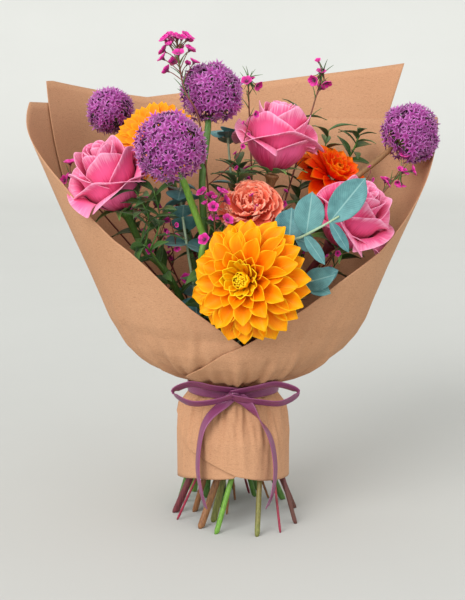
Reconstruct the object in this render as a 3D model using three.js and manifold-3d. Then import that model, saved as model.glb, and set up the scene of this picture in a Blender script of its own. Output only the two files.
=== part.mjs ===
// A hand-tied mixed bouquet standing on its splayed cut stems, wrapped in two sheets of kraft paper
// that a satin ribbon ties at the waist. Millimetres, +Z up, the front of the bouquet faces -Y.
import * as THREE from "three";
import Module from "manifold-3d";

const wasm = await Module();
wasm.setup();

// ---------------------------------------------------------------- driving dimensions
const TIE_Z = 122;               // height of the ribbon and of the hidden binding twine
const TIE_X = -4;                // the tied waist sits a little to the left
const TIE_HALF_WIDTH = 31;       // half-axes of the bundle of stems at the tie
const TIE_HALF_DEPTH = 23;
const SPIRAL_X = 0.021;          // how fast a stem leans round the bundle, per mm of height
const SPIRAL_Y = 0.0191;
const STEM_GAP = 0.4;
const SEAT_GAP = 0.3;            // gap between pieces that touch
const TWINE_RADIUS = 1;
const PAPER_THICKNESS = 0.7;
const PAPER_LAYER = 2.1;         // from the middle of one sheet to the middle of the next
const PLEATS = 12;
const RIBBON_WIDTH = 10;
const RIBBON_THICKNESS = 0.8;
const BLADE_THICKNESS = 0.8;

// ---------------------------------------------------------------- small tools
const V = (x, y, z) => new THREE.Vector3(x, y, z);
const radians = THREE.MathUtils.degToRad;
const UP = V(0, 0, 1);

// A repeatable number from 0 to 1 for the natural spread of petals and leaves.
function spread(n) {
  const wave = Math.sin(n * 12.9898 + 4.1) * 43758.5453;
  return wave - Math.floor(wave);
}

// Reads a value off a line of [position, value] points.
function along(line, position) {
  if (position <= line[0][0]) return line[0][1];
  for (let i = 1; i < line.length; i += 1) {
    if (position <= line[i][0]) {
      const share = (position - line[i - 1][0]) / (line[i][0] - line[i - 1][0]);
      return line[i - 1][1] + share * (line[i][1] - line[i - 1][1]);
    }
  }
  return line[line.length - 1][1];
}

// A closed solid from points and triangles, turned right side out.
function solid(points, triangles) {
  const vertProperties = new Float32Array(points.flatMap((p) => [p.x, p.y, p.z]));
  const forward = new Uint32Array(triangles.flat());
  const body = new wasm.Manifold(new wasm.Mesh({ numProp: 3, vertProperties, triVerts: forward }));
  if (body.volume() > 0) return body;
  const triVerts = new Uint32Array(triangles.flatMap(([i, j, k]) => [i, k, j]));
  return new wasm.Manifold(new wasm.Mesh({ numProp: 3, vertProperties, triVerts }));
}

// Rings of equal length joined one after another, with a flat fan at each end. Where isBack says
// so, a four-cornered patch is split along its other diagonal, so that both faces of a petal or a
// strip bend alike.
function loft(rings, isBack = () => false) {
  const n = rings[0].length;
  const triangles = [];
  for (let i = 0; i + 1 < rings.length; i += 1) {
    for (let j = 0; j < n; j += 1) {
      const a = i * n + j;
      const b = i * n + (j + 1) % n;
      if (isBack(i, j)) triangles.push([a, b, a + n], [b, b + n, a + n]);
      else triangles.push([a, b, b + n], [a, b + n, a + n]);
    }
  }
  const last = (rings.length - 1) * n;
  for (let j = 1; j + 1 < n; j += 1) {
    triangles.push([0, j + 1, j], [last, last + j, last + j + 1]);
  }
  return solid(rings.flat(), triangles);
}

// The same, closed on itself like a ring.
function closedLoft(rings) {
  const n = rings[0].length;
  const triangles = [];
  for (let i = 0; i < rings.length; i += 1) {
    const next = ((i + 1) % rings.length) * n;
    for (let j = 0; j < n; j += 1) {
      const k = (j + 1) % n;
      triangles.push([i * n + j, i * n + k, next + k], [i * n + j, next + k, next + j]);
    }
  }
  return solid(rings.flat(), triangles);
}

// Frames carried along a line of points without twisting.
function framesAlong(points, firstNormal) {
  const frames = [];
  let normal = firstNormal ? firstNormal.clone() : V(0, 1, 0);
  for (let i = 0; i < points.length; i += 1) {
    const before = points[Math.max(i - 1, 0)];
    const after = points[Math.min(i + 1, points.length - 1)];
    const tangent = after.clone().sub(before).normalize();
    normal = normal.clone().addScaledVector(tangent, -normal.dot(tangent)).normalize();
    const across = tangent.clone().cross(normal).normalize();
    frames.push({ point: points[i], tangent, normal, across });
  }
  return frames;
}

// A round rod along a line of points; its radius may change along it.
function rod(points, radii, sides) {
  const rings = framesAlong(points).map((frame, i) => {
    const radius = Array.isArray(radii) ? radii[i] : radii;
    const ring = [];
    for (let j = 0; j < sides; j += 1) {
      const turn = (2 * Math.PI * j) / sides;
      ring.push(frame.point.clone()
        .addScaledVector(frame.normal, radius * Math.cos(turn))
        .addScaledVector(frame.across, -radius * Math.sin(turn)));
    }
    return ring.reverse();
  });
  return loft(rings);
}

// The normals of a grid of points.
function gridNormals(grid) {
  const rows = grid.length - 1;
  const columns = grid[0].length - 1;
  return grid.map((row, i) => row.map((point, j) => {
    const downstream = grid[Math.min(i + 1, rows)][j].clone().sub(grid[Math.max(i - 1, 0)][j]);
    const sideways = grid[i][Math.min(j + 1, columns)].clone().sub(grid[i][Math.max(j - 1, 0)]);
    return sideways.cross(downstream).normalize();
  }));
}

// A petal or leaf: a grid of points given a thickness that runs out to a thin edge all round.
function blade(grid, thickness = BLADE_THICKNESS) {
  const rows = grid.length - 1;
  const columns = grid[0].length - 1;
  const normals = gridNormals(grid);
  const points = [];
  const top = [];
  const bottom = [];
  grid.forEach((row, i) => {
    top.push([]);
    bottom.push([]);
    row.forEach((point, j) => {
      const onEdge = i === 0 || j === 0 || i === rows || j === columns;
      top[i].push(points.length);
      points.push(onEdge ? point.clone() : point.clone().addScaledVector(normals[i][j], thickness / 2));
      bottom[i].push(onEdge ? points.length - 1 : points.length);
      if (!onEdge) points.push(point.clone().addScaledVector(normals[i][j], -thickness / 2));
    });
  });
  const triangles = [];
  for (let i = 0; i < rows; i += 1) {
    for (let j = 0; j < columns; j += 1) {
      const rising = (i < rows / 2) === (j < columns / 2);
      for (const [face, flip] of [[top, false], [bottom, true]]) {
        const [a, b, c, d] = [face[i][j], face[i][j + 1], face[i + 1][j + 1], face[i + 1][j]];
        const pair = rising ? [[a, b, c], [a, c, d]] : [[a, b, d], [b, c, d]];
        pair.forEach((t) => triangles.push(flip ? [t[0], t[2], t[1]] : t));
      }
    }
  }
  return solid(points, triangles);
}

// A sheet of even thickness over a grid of points, with a square-cut edge.
function sheet(outside, inside) {
  const rows = outside.length - 1;
  const columns = outside[0].length - 1;
  const width = columns + 1;
  const count = (rows + 1) * width;
  const points = [...outside.flat(), ...inside.flat()];
  const triangles = [];
  for (let i = 0; i < rows; i += 1) {
    for (let j = 0; j < columns; j += 1) {
      const a = i * width + j;
      const [b, c, d] = [a + 1, a + width + 1, a + width];
      triangles.push([a, b, c], [a, c, d]);
      triangles.push([a + count, c + count, b + count], [a + count, d + count, c + count]);
    }
  }
  const rim = [];
  for (let j = 0; j < columns; j += 1) rim.push(j);
  for (let i = 0; i < rows; i += 1) rim.push(i * width + columns);
  for (let j = columns; j > 0; j -= 1) rim.push(rows * width + j);
  for (let i = rows; i > 0; i -= 1) rim.push(i * width);
  rim.forEach((a, k) => {
    const b = rim[(k + 1) % rim.length];
    triangles.push([a, a + count, b + count], [a, b + count, b]);
  });
  return solid(points, triangles);
}

const joined = (solids) => solids.reduce((whole, next) => whole.add(next));

const bouquet = new THREE.Group();
const laid = [];                 // every piece added so far, in the bouquet's own frame

// Adds one named piece with its own colour to the bouquet; it may be given turned and moved.
function addPiece(name, body, colour, roughness = 0.6, matrix = new THREE.Matrix4()) {
  const { vertProperties, triVerts } = body.getMesh();
  const geometry = new THREE.BufferGeometry();
  geometry.setAttribute("position", new THREE.BufferAttribute(new Float32Array(vertProperties), 3));
  geometry.setIndex(new THREE.BufferAttribute(new Uint32Array(triVerts), 1));
  geometry.computeVertexNormals();
  const material = new THREE.MeshStandardMaterial({ color: colour, roughness, metalness: 0 });
  const mesh = new THREE.Mesh(geometry, material);
  mesh.name = name;
  mesh.applyMatrix4(matrix);
  bouquet.add(mesh);
  const standing = body.transform(matrix.elements);
  laid.push({ body: standing, box: standing.boundingBox() });
}

// Whether a body keeps its distance from every piece added so far.
const CLEARANCE = 0.25;
function isClear(body) {
  const box = body.boundingBox();
  return laid.every((other) => {
    const apart = [0, 1, 2].some((k) => (
      box.min[k] - CLEARANCE > other.box.max[k] || other.box.min[k] - CLEARANCE > box.max[k]
    ));
    return apart || body.minGap(other.body, 2 * CLEARANCE) >= CLEARANCE;
  });
}

// ---------------------------------------------------------------- the paper's form
// The cone of paper by height: [height, half-width, half-depth].
const CONE = [
  [5, 50.5, 67], [80, 50, 54], [104, 44.5, 38], [116, 36.4, 28.4], [129, 36.4, 28.4], [137, 58, 49],
  [144, 73, 62], [154, 88, 75], [164, 99, 84], [176, 108, 91.5], [190, 116.5, 99], [450, 224, 175],
];
const CONE_WIDTH = CONE.map(([z, width]) => [z, width]);
const CONE_DEPTH = CONE.map(([z, , depth]) => [z, depth]);
const CONE_SHIFT = [[130, TIE_X], [176, 0]];
const PLEAT_DEPTH = [[80, 0], [104, 2.6], [116, 2], [129, 2], [137, 3], [154, 2], [170, 0]];
const FRONT_PRESS = 0.16;        // the crossing sheets press the front flatter
const FRONT_PRESS_LOW = 140;
const FRONT_PRESS_HIGH = 180;

// A point of the cone; azimuth 0 is the front, 90 the right, 180 the back.
function conePoint(azimuth, z) {
  const angle = radians(azimuth);
  const press = THREE.MathUtils.clamp((z - FRONT_PRESS_LOW) / (FRONT_PRESS_HIGH - FRONT_PRESS_LOW), 0, 1);
  const flat = 1 - FRONT_PRESS * press * Math.max(Math.cos(angle), 0) ** 2;
  const pleat = along(PLEAT_DEPTH, z) * Math.cos(PLEATS * angle);
  const x = along(CONE_SHIFT, z) + (along(CONE_WIDTH, z) + pleat) * flat * Math.sin(angle);
  const y = -(along(CONE_DEPTH, z) + pleat) * flat * Math.cos(angle);
  return V(x, y, z);
}

// The cone's outward normal, without the pleats' own tilt.
function coneNormal(azimuth, z) {
  const sideways = conePoint(azimuth + 15, z).sub(conePoint(azimuth - 15, z));
  const upwards = conePoint(azimuth, z + 2).sub(conePoint(azimuth, z - 2));
  return sideways.cross(upwards).normalize();
}

// What lies past a sheet's edge: everything between the edge line and the height beyond.
const EDGE_MARGIN = 5;
const EDGE_INNER = 3;
const EDGE_OUTER = 320;
function pastEdge(line, azimuths, beyond) {
  const rings = [];
  const last = azimuths.length - 1;
  const [start, end] = [azimuths[0] - EDGE_MARGIN, azimuths[last] + EDGE_MARGIN];
  for (const azimuth of [start, ...azimuths.slice(1, last), end]) {
    const edge = conePoint(azimuth, along(line, azimuth));
    const outwards = V(edge.x - TIE_X, edge.y, 0).normalize();
    const near = outwards.clone().multiplyScalar(EDGE_INNER).add(V(TIE_X, 0, edge.z));
    const far = outwards.clone().multiplyScalar(EDGE_OUTER).add(V(TIE_X, 0, edge.z));
    rings.push([near, edge, far, far.clone().setZ(beyond), near.clone().setZ(beyond)]);
  }
  return loft(rings);
}

// One sheet round the cone. top, bottom and layer are lines read by azimuth; the end may lean.
const PAPER_LEVELS = [5, 80, 104, 116, 129, 137, 154, 176, 190, 425];
const PAPER_COLUMN = 15;
const ABOVE_ALL = 600;
const BELOW_ALL = -100;
function paperSheet({ from, to, top, bottom, layer, lean = [[0, to]] }) {
  const azimuths = [from];
  const lastFull = Math.min(...lean.map(([, azimuth]) => azimuth)) - 1;
  for (let a = (Math.floor(from / PAPER_COLUMN) + 1) * PAPER_COLUMN; a < lastFull; a += PAPER_COLUMN) {
    azimuths.push(a);
  }
  azimuths.push(to);
  const faces = [PAPER_THICKNESS / 2, -PAPER_THICKNESS / 2].map((side) => PAPER_LEVELS.map((z) => (
    azimuths.map((azimuth) => {
      const place = azimuth === to ? along(lean, z) : azimuth;
      return conePoint(place, z).addScaledVector(coneNormal(place, z), along(layer, place) + side);
    })
  )));
  return sheet(faces[0], faces[1])
    .subtract(pastEdge(top, azimuths, ABOVE_ALL))
    .subtract(pastEdge(bottom, azimuths, BELOW_ALL));
}

// The right-hand sheet runs from its left back end (azimuth -102) round the back and the right side,
// over the front, to a corner tucked under the ribbon on the left (azimuth 270 here, which is -90).
// It is written from the front corner backwards: -90, 0 (front), 90 (right), 180 (back), 258.
const RIGHT_TOP = [
  [-90, 105], [-60, 123], [-40, 141], [-20, 156], [-8, 169], [4, 178], [16, 192], [31, 211], [44, 232],
  [51, 242], [62, 257], [73, 282], [90, 325], [105, 368], [122, 364], [151, 361], [180, 372],
  [208, 382], [221, 388], [240, 399], [258, 399],
];
const RIGHT_BOTTOM = [
  [-90, 96], [-80, 88], [-51, 71], [-37, 67], [-17, 60], [3, 52], [30, 46], [90, 36], [258, 34],
];
const RIGHT_LAYER = [
  [-90, 2 * PAPER_LAYER], [-60, PAPER_LAYER], [110, PAPER_LAYER], [135, 0], [258, 0],
];
const RIGHT_END_LEAN = [[300, 258], [399, 243]];

// The left-hand sheet runs from a corner inside the right front (azimuth 60) over the front, round
// the left side and the back, to its free end on the right (azimuth -230, which is 130).
const LEFT_TOP = [
  [-230, 416], [-198, 402], [-169, 388], [-152, 382], [-119, 379], [-104, 384], [-92, 364],
  [-80, 343], [-67, 315], [-58, 288], [-50, 269], [-44, 259], [-38, 246], [-28, 222], [-22, 210],
  [-5, 186], [1, 178], [20, 156], [40, 132], [60, 106],
];
const LEFT_BOTTOM = [
  [-230, 36], [-180, 30], [-90, 34], [-40, 46], [0, 50], [20, 62], [45, 84], [60, 97],
];
const LEFT_LAYER = [[-230, PAPER_LAYER], [-90, PAPER_LAYER], [-60, 0], [60, 0]];

addPiece("kraft_sheet_right", paperSheet({
  from: -90, to: 258, top: RIGHT_TOP, bottom: RIGHT_BOTTOM, layer: RIGHT_LAYER,
  lean: RIGHT_END_LEAN,
}), 0xcda07d, 0.8);
addPiece("kraft_sheet_left", paperSheet({
  from: -230, to: 60, top: LEFT_TOP, bottom: LEFT_BOTTOM, layer: LEFT_LAYER,
}), 0xcda07d, 0.8);


// ---------------------------------------------------------------- the stems' seats in the tie
const STRAIGHT_ABOVE_TIE = 26;
const stemLines = [];

// The straight line of a stem through its seat: all of them turn the same way round the bundle.
function stemLine(x, y, radius) {
  return { seat: V(TIE_X + x, y, TIE_Z), lean: V(-SPIRAL_X * y, SPIRAL_Y * x, 1), radius };
}

function gapBetween(a, b) {
  const apart = b.seat.clone().sub(a.seat);
  const common = a.lean.clone().cross(b.lean);
  const distance = common.length() > 1e-3
    ? Math.abs(apart.dot(common)) / common.length()
    : apart.cross(a.lean).length() / a.lean.length();
  return distance - a.radius - b.radius;
}

// The line of points of a whole stem, from below the floor to its tip.
const STEM_STEPS = 7;
function stemPath(line, vias, end, heading, steps = STEM_STEPS) {
  const at = (dz) => line.seat.clone().addScaledVector(line.lean, dz);
  const reach = end.distanceTo(at(STRAIGHT_ABOVE_TIE)) * 0.3;
  const knots = [at(0), at(STRAIGHT_ABOVE_TIE), ...vias.map((p) => V(...p))];
  if (heading) knots.push(end.clone().addScaledVector(heading, -Math.min(reach, 40)));
  knots.push(end);
  const curve = new THREE.CatmullRomCurve3(knots, false, "centripetal");
  const upper = curve.getPoints(steps);
  return [at(-TIE_Z - 12), ...upper];
}

// The rod of a stem, cut level where it stands.
function stemRod(points, radii, sides) {
  return rod(points, radii, sides).trimByPlane([0, 0, 1], 0);
}

// Lays a stem: it sits where a straight line turning round the bundle would start to reach its end,
// as far out as there is room, and further round if the stem would meet anything already there.
const BUNDLE = 24;
const SHARE_STEP = 0.05;
const TURNS_TRIED = [0, 10, -10, 20, -20, 30, -30, 45, -45, 60, -60, 80, -80, 110, -110, 150];
function layStem(end, radius, pathFor, bodyFor) {
  const out = Math.hypot(end.x - TIE_X, end.y);
  const straight = Math.atan2(end.y, end.x - TIE_X) - Math.acos(Math.min(BUNDLE / out, 0.95));
  for (const turn of TURNS_TRIED) {
    const angle = straight + radians(turn);
    for (let share = 1; share > 0; share -= SHARE_STEP) {
      const line = stemLine(
        (TIE_HALF_WIDTH - radius) * share * Math.cos(angle),
        (TIE_HALF_DEPTH - radius) * share * Math.sin(angle),
        radius,
      );
      if (stemLines.some((other) => gapBetween(line, other) < STEM_GAP)) continue;
      const path = pathFor(line);
      const body = bodyFor(path);
      if (isClear(body)) {
        stemLines.push(line);
        return { path, body };
      }
    }
  }
  throw new Error("no room in the tie");
}

// Radii that run from the foot's to the tip's.
function tapering(points, radius, tipRadius) {
  return points.map((p, i) => radius + ((tipRadius - radius) * Math.max(i - 1, 0)) / (points.length - 2));
}

// ---------------------------------------------------------------- petals and leaves
// Points of a blade that leaves the origin along +Y, face up (+Z), bending up by curl degrees.
const WIDEST = 0.6;
function bladeGrid({ length, width, rows = 3, columns = 2, curl = 0, cup = 0, root = 0.3, widest = WIDEST }) {
  const grid = [];
  let y = 0;
  let z = 0;
  for (let i = 0; i <= rows; i += 1) {
    const v = i / rows;
    if (i > 0) {
      const bend = radians(curl) * (v - 0.5 / rows);
      y += (length / rows) * Math.cos(bend);
      z += (length / rows) * Math.sin(bend);
    }
    const rise = v < widest ? root + (1 - root) * (v / widest) : 1;
    const fall = v > widest ? Math.cos((Math.PI / 2) * ((v - widest) / (1 - widest))) : 1;
    const half = (width / 2) * Math.max(rise * fall ** 0.7, 0.05);
    const row = [];
    for (let j = 0; j <= columns; j += 1) {
      const u = (2 * j) / columns - 1;
      row.push(V(u * half, y, z + cup * u * u * half));
    }
    grid.push(row);
  }
  return grid;
}

const placed = (grid, matrix) => grid.map((row) => row.map((p) => p.clone().applyMatrix4(matrix)));

// A knot's round body, stretched along the axis.
function core(radius, halfHeight) {
  const { position } = new THREE.IcosahedronGeometry(1, 0).attributes;
  const points = [];
  const keys = new Map();
  const index = [];
  for (let i = 0; i < position.count; i += 1) {
    const key = [0, 1, 2].map((k) => Math.round(position.getComponent(i, k) * 1e4)).join();
    if (!keys.has(key)) {
      keys.set(key, points.length);
      points.push(V(0, 0, 0).fromBufferAttribute(position, i).multiply(V(radius, radius, halfHeight)));
    }
    index.push(keys.get(key));
  }
  const triangles = [];
  for (let i = 0; i < index.length; i += 3) triangles.push(index.slice(i, i + 3));
  return solid(points, triangles);
}

// A bloom grown as one body: for each layer of petals the surface runs out under them to their
// tips and back over them to the root, then out again under the next layer.
// layers: each a grid of middle points, root row first; base and crown: closing rings.
function rosette(base, layers, crown) {
  const rings = [...base];
  const backs = new Set();
  for (const middle of layers) {
    const last = middle.length - 1;
    const columns = middle[0].length;
    const sides = middle.map((row, i) => row.map((point, j) => {
      const down = middle[Math.min(i + 1, last)][j].clone().sub(middle[Math.max(i - 1, 0)][j]);
      const round = row[(j + 1) % columns].clone().sub(row[(j + columns - 1) % columns]);
      return down.cross(round).normalize().multiplyScalar(BLADE_THICKNESS / 2);
    }));
    for (let i = 0; i < last; i += 1) rings.push(middle[i].map((p, j) => p.clone().sub(sides[i][j])));
    rings.push(middle[last]);
    for (let i = last - 1; i >= 0; i -= 1) {
      backs.add(rings.length - 1);
      rings.push(middle[i].map((p, j) => p.clone().add(sides[i][j])));
    }
  }
  return loft([...rings, ...crown], (i) => backs.has(i));
}

// A layer of pointed petals: [length, root radius, root height, elevation, curl, rows]. Petals part
// at the notches, a share of their length out, and each layer stands half a petal round.
function petalLayer([length, radius, height, elevation, curl, rows = 2], count, notch, seed) {
  const middle = [];
  for (let i = 0; i <= rows; i += 1) {
    const v = i / rows;
    const row = [];
    for (let j = 0; j < count * 2; j += 1) {
      const atTip = (j + seed) % 2 === 0;
      const reach = atTip ? length * (0.95 + 0.1 * spread(seed * 31 + j)) : length * notch;
      const rise = radians(elevation + curl * v + (atTip ? 0 : 5 * v));
      const angle = (Math.PI * j) / count;
      const out = radius + reach * v * Math.cos(rise);
      row.push(V(out * Math.cos(angle), out * Math.sin(angle), height + reach * v * Math.sin(rise)));
    }
    middle.push(row);
  }
  return middle;
}

// A flat ring of points about the axis.
function ringAt(radius, height, columns) {
  return Array.from({ length: columns }, (_, j) => {
    const angle = (2 * Math.PI * j) / columns;
    return V(radius * Math.cos(angle), radius * Math.sin(angle), height);
  });
}

// Layers of pointed petals between closing rings, which are written as [radius, height].
function layered({ base, layers, crown = [], count, notch, seed }) {
  const rings = (list) => list.map(([radius, height]) => ringAt(radius, height, count * 2));
  const petals = layers.map((layer, i) => petalLayer(layer, count, notch, seed + i));
  return rosette(rings(base), petals, rings(crown));
}

// A layer of a rose: broad petals wrapped round the bud with flared, rounded rims.
// [low radius, high radius, low height, high height, flare, turn, rows].
const ROSE_PETALS = 5;
const PETAL_COLUMNS = 3;
function roseLayer([low, high, bottom, top, flare, turn, rows], seed) {
  const middle = [];
  const columns = ROSE_PETALS * PETAL_COLUMNS;
  for (let i = 0; i <= rows; i += 1) {
    const v = i / rows;
    const row = [];
    for (let j = 0; j < columns; j += 1) {
      const part = j % PETAL_COLUMNS;
      const petal = Math.floor(j / PETAL_COLUMNS);
      const angle = radians(turn) + (2 * Math.PI * j) / columns;
      const belly = Math.sin((Math.PI / 2) * Math.min(v * 1.6, 1));
      const fold = part === 0 ? -0.14 : part === 1 ? 0.02 : 0.08;
      const radius = (low + (high - low) * belly) * (1 + fold * v) + flare * v ** 3;
      const rim = part === 0 ? 0.84 : 0.97 + 0.06 * spread(seed + petal + part);
      const height = bottom + (top - bottom) * v * (1 + (rim - 1) * v) - 0.3 * flare * v ** 4;
      row.push(V(radius * Math.cos(angle), radius * Math.sin(angle), height));
    }
    middle.push(row);
  }
  return middle;
}

function roseBloom(seed) {
  const columns = ROSE_PETALS * PETAL_COLUMNS;
  return rosette(
    [ringAt(ROSE_BASE, -ROSE_BACK, columns)],
    ROSE_LAYERS.map((layer, i) => roseLayer(layer, seed + 10 * i)),
    ROSE_BUD.map(([radius, height]) => ringAt(radius, height, columns)),
  );
}

// A ball of florets: the corners of a fine icosahedron stand out as florets, its faces sink between.
function alliumBall(radius, socketRadius, socketDepth) {
  const geometry = new THREE.IcosahedronGeometry(1, 2);
  const position = geometry.attributes.position;
  const points = [];
  const keys = new Map();
  const triangles = [];
  const corner = (i) => {
    const p = V(position.getX(i), position.getY(i), position.getZ(i));
    const key = [p.x, p.y, p.z].map((value) => Math.round(value * 1e4)).join();
    if (!keys.has(key)) {
      keys.set(key, points.length);
      points.push(p.normalize().multiplyScalar(radius * (0.95 + 0.05 * spread(points.length))));
    }
    return keys.get(key);
  };
  for (let i = 0; i < position.count; i += 3) {
    const [a, b, c] = [corner(i), corner(i + 1), corner(i + 2)];
    const sunk = points[a].clone().add(points[b]).add(points[c]).normalize().multiplyScalar(radius * 0.74);
    const d = points.push(sunk) - 1;
    triangles.push([a, b, d], [b, c, d], [c, a, d]);
  }
  const socket = rod([V(0, 0, -radius - 5), V(0, 0, -socketDepth)], socketRadius, 8);
  return solid(points, triangles).subtract(socket);
}

// Layers from the outside in: [length, root radius, root height, elevation, curl, rows].
const DAHLIA_BACK = 13;
const DAHLIA_OUTER = {
  base: [[8, -DAHLIA_BACK]], count: 14, notch: 0.74, seed: 2,
  layers: [[51, 8, -6, -3, -5, 3], [48, 8, -3, 9, -5, 3], [40, 8, 0, 23, -5], [31, 8, 3, 38, 0]],
};
const DAHLIA_INNER = {
  base: [[7, -4]], count: 8, notch: 0.74, seed: 7,
  layers: [[22, 6, 3, 52, 6], [13, 5, 7, 66, 8]], crown: [[3, 12], [2, 20]],
};
const RED_BACK = 10;
const RED_OUTER = {
  base: [[5.5, -RED_BACK]], count: 12, notch: 0.66, seed: 3,
  layers: [[36, 6, -4, 6, -10], [31, 6, -0.8, 24, -8], [22, 6, 2.2, 44, 0]],
};
const RED_INNER = {
  base: [[4.5, -2]], count: 8, notch: 0.72, seed: 9, layers: [[13, 4.5, 3.4, 60, 6]],
  crown: [[3, 8], [2, 14]],
};
const GERBERA_BACK = 10;
const GERBERA = {
  base: [[8, -GERBERA_BACK]], count: 20, notch: 0.6, seed: 4,
  layers: [[34, 9, -3, 2, -5], [29, 9, 0, 14, -5]], crown: [[9, 3], [6.5, 6.5], [3, 6]],
};
const CORAL_BACK = 13;
const CORAL_OUTER = {
  base: [[5.5, -CORAL_BACK]], count: 9, notch: 0.84, seed: 6,
  layers: [[27, 6, -8, 10, 12], [24, 6, -5, 30, 14], [20, 6, -2, 48, 14]],
};
const CORAL_INNER = {
  base: [[4, -5]], count: 6, notch: 0.84, seed: 8, layers: [[17, 4, -2, 66, 10]],
  crown: [[2, 4], [2, 11]],
};
const ROSE_BACK = 28;
const ROSE_BASE = 7;
const ROSE_LAYERS = [
  [8, 28, -26, 20, 12, 0, 3], [7, 24, -22, 29, 7, 35, 3], [6.5, 17.5, -12, 36, 3, 70, 2],
];
const ROSE_BUD = [[6, -4], [10.5, 12], [9, 31], [4, 37]];

// The blooms: centre, the way the face looks, roll round it, how far behind the centre the stem
// meets it, stem radius, radius of the cup on the stem, and points that the stem passes.
const BLOOMS = [
  {
    name: "dahlia_orange", at: [7, -104, 239], facing: [-0.35, -0.92, 0.17], roll: 0, back: DAHLIA_BACK,
    stem: 4, cup: 9, vias: [[5, -40, 200]], colour: 0xffa408, green: 0x5f9a2e,
    body: () => layered(DAHLIA_OUTER).add(layered(DAHLIA_INNER)),
  },
  {
    name: "rose_left", at: [-109, -47, 315], facing: [-0.36, -0.29, 0.88], roll: 50, back: ROSE_BACK,
    stem: 3.2, cup: 8, vias: [[-67, -42, 244]], colour: 0xe27297, green: 0x4c7a3a,
    body: () => roseBloom(100),
  },
  {
    name: "rose_top", at: [35, -5, 346], facing: [0.14, -0.01, 0.99], roll: 75, back: ROSE_BACK,
    stem: 3.2, cup: 8, vias: [], colour: 0xdd6c92, green: 0x4c7a3a,
    body: () => roseBloom(200),
  },
  {
    name: "rose_right", at: [98, -41, 281], facing: [0.5, -0.42, 0.76], roll: 140, back: ROSE_BACK,
    stem: 3.2, cup: 8, vias: [], colour: 0xdd6c92, green: 0x4c7a3a,
    body: () => roseBloom(300),
  },
  {
    name: "gerbera_orange", at: [-74, 17, 347], facing: [-0.15, -0.85, 0.5], roll: 0, back: GERBERA_BACK,
    stem: 3, cup: 9, vias: [], colour: 0xff9a10, green: 0x6f9a3a,
    body: () => layered(GERBERA),
  },
  {
    name: "dahlia_red", at: [88, 30, 313], facing: [0.45, -0.51, 0.73], roll: 0, back: RED_BACK,
    stem: 3, cup: 7, vias: [], colour: 0xff4a08, green: 0x5f9a2e,
    body: () => layered(RED_OUTER).add(layered(RED_INNER)),
  },
  {
    name: "coral_bloom", at: [11, -50, 293], facing: [0, -0.7, 0.7], roll: 0, back: CORAL_BACK,
    stem: 2.6, cup: 6, vias: [], colour: 0xfa785f, green: 0x5f8a3a,
    body: () => layered(CORAL_OUTER).add(layered(CORAL_INNER)),
  },
  {
    name: "allium_left", at: [-56, -77, 348], facing: [-0.3, -0.25, 0.91], roll: 0, ball: 31,
    stem: 3, vias: [[-31, -62, 262]], colour: 0x96469f, green: 0x6a9a3a,
  },
  {
    name: "allium_top", at: [-23, -18, 390], facing: [0.1, 0.3, 0.93], roll: 0, ball: 28,
    stem: 3, vias: [], colour: 0x8a3f98, green: 0x6a9a3a,
  },
  {
    name: "allium_back", at: [-119, 55, 372], facing: [-0.6, 0.38, 0.6], roll: 0, ball: 22,
    stem: 2.5, vias: [], colour: 0x96569f, green: 0x6a9a3a,
  },
  {
    name: "allium_right", at: [156, 10, 354], facing: [0.72, 0.2, 0.58], roll: 0, ball: 27,
    stem: 2.5, vias: [], colour: 0x96469f, green: 0x7aa63e,
  },
];

const SOCKET_SHARE = 0.7;        // how deep into an allium's ball the stem reaches

const SOCKET_SPACE = 0.8;        // between a ball's socket and the stem in it
const STEM_SIDES = 6;
for (const bloom of BLOOMS) {
  const facing = V(...bloom.facing).normalize();
  const body = bloom.ball
    ? alliumBall(bloom.ball, bloom.stem + SOCKET_SPACE, bloom.ball * SOCKET_SHARE)
    : bloom.body();
  const turned = new THREE.Quaternion().setFromUnitVectors(UP, facing)
    .multiply(new THREE.Quaternion().setFromAxisAngle(UP, radians(bloom.roll)));
  const matrix = new THREE.Matrix4().compose(V(...bloom.at), turned, V(1, 1, 1));
  addPiece(bloom.name, body, bloom.colour, 0.6, matrix);
}

BLOOMS.sort((a, b) => b.stem - a.stem);
for (const bloom of BLOOMS) {
  const centre = V(...bloom.at);
  const facing = V(...bloom.facing).normalize();
  const back = bloom.ball ? bloom.ball * SOCKET_SHARE : bloom.back;
  const end = centre.clone().addScaledVector(facing, -back - SEAT_GAP);
  const cup = bloom.cup ?? bloom.ball;
  const neck = end.clone().addScaledVector(facing, -cup);
  const pathFor = (line) => {
    const path = stemPath(line, bloom.vias, neck, facing);
    if (bloom.cup) path.push(end.clone().addScaledVector(facing, -cup * 0.4));
    return [...path, end];
  };
  const bodyFor = (path) => {
    const radii = path.map((point, i) => (
      bloom.cup && i >= path.length - 2 ? cup * (i === path.length - 1 ? 1 : 0.85) : bloom.stem
    ));
    return stemRod(path, radii, STEM_SIDES);
  };
  addPiece(`${bloom.name}_stem`, layStem(centre, bloom.stem, pathFor, bodyFor).body, bloom.green);
}

// ---------------------------------------------------------------- leaves along a stem
const LEAF_ROOT = 0.45;           // a leaf starts just off the middle of its stem

const LEAF_NECK = 0.1;           // a leaf's width at its root as a share of its width

// A place on a line of points, as a share of its steps, with the direction there.
function onPath(path, share) {
  const place = Math.min(share, 0.999) * (path.length - 1);
  const i = Math.floor(place);
  return {
    point: path[i].clone().lerp(path[i + 1], place - i),
    tangent: path[i + 1].clone().sub(path[i]).normalize(),
  };
}

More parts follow.
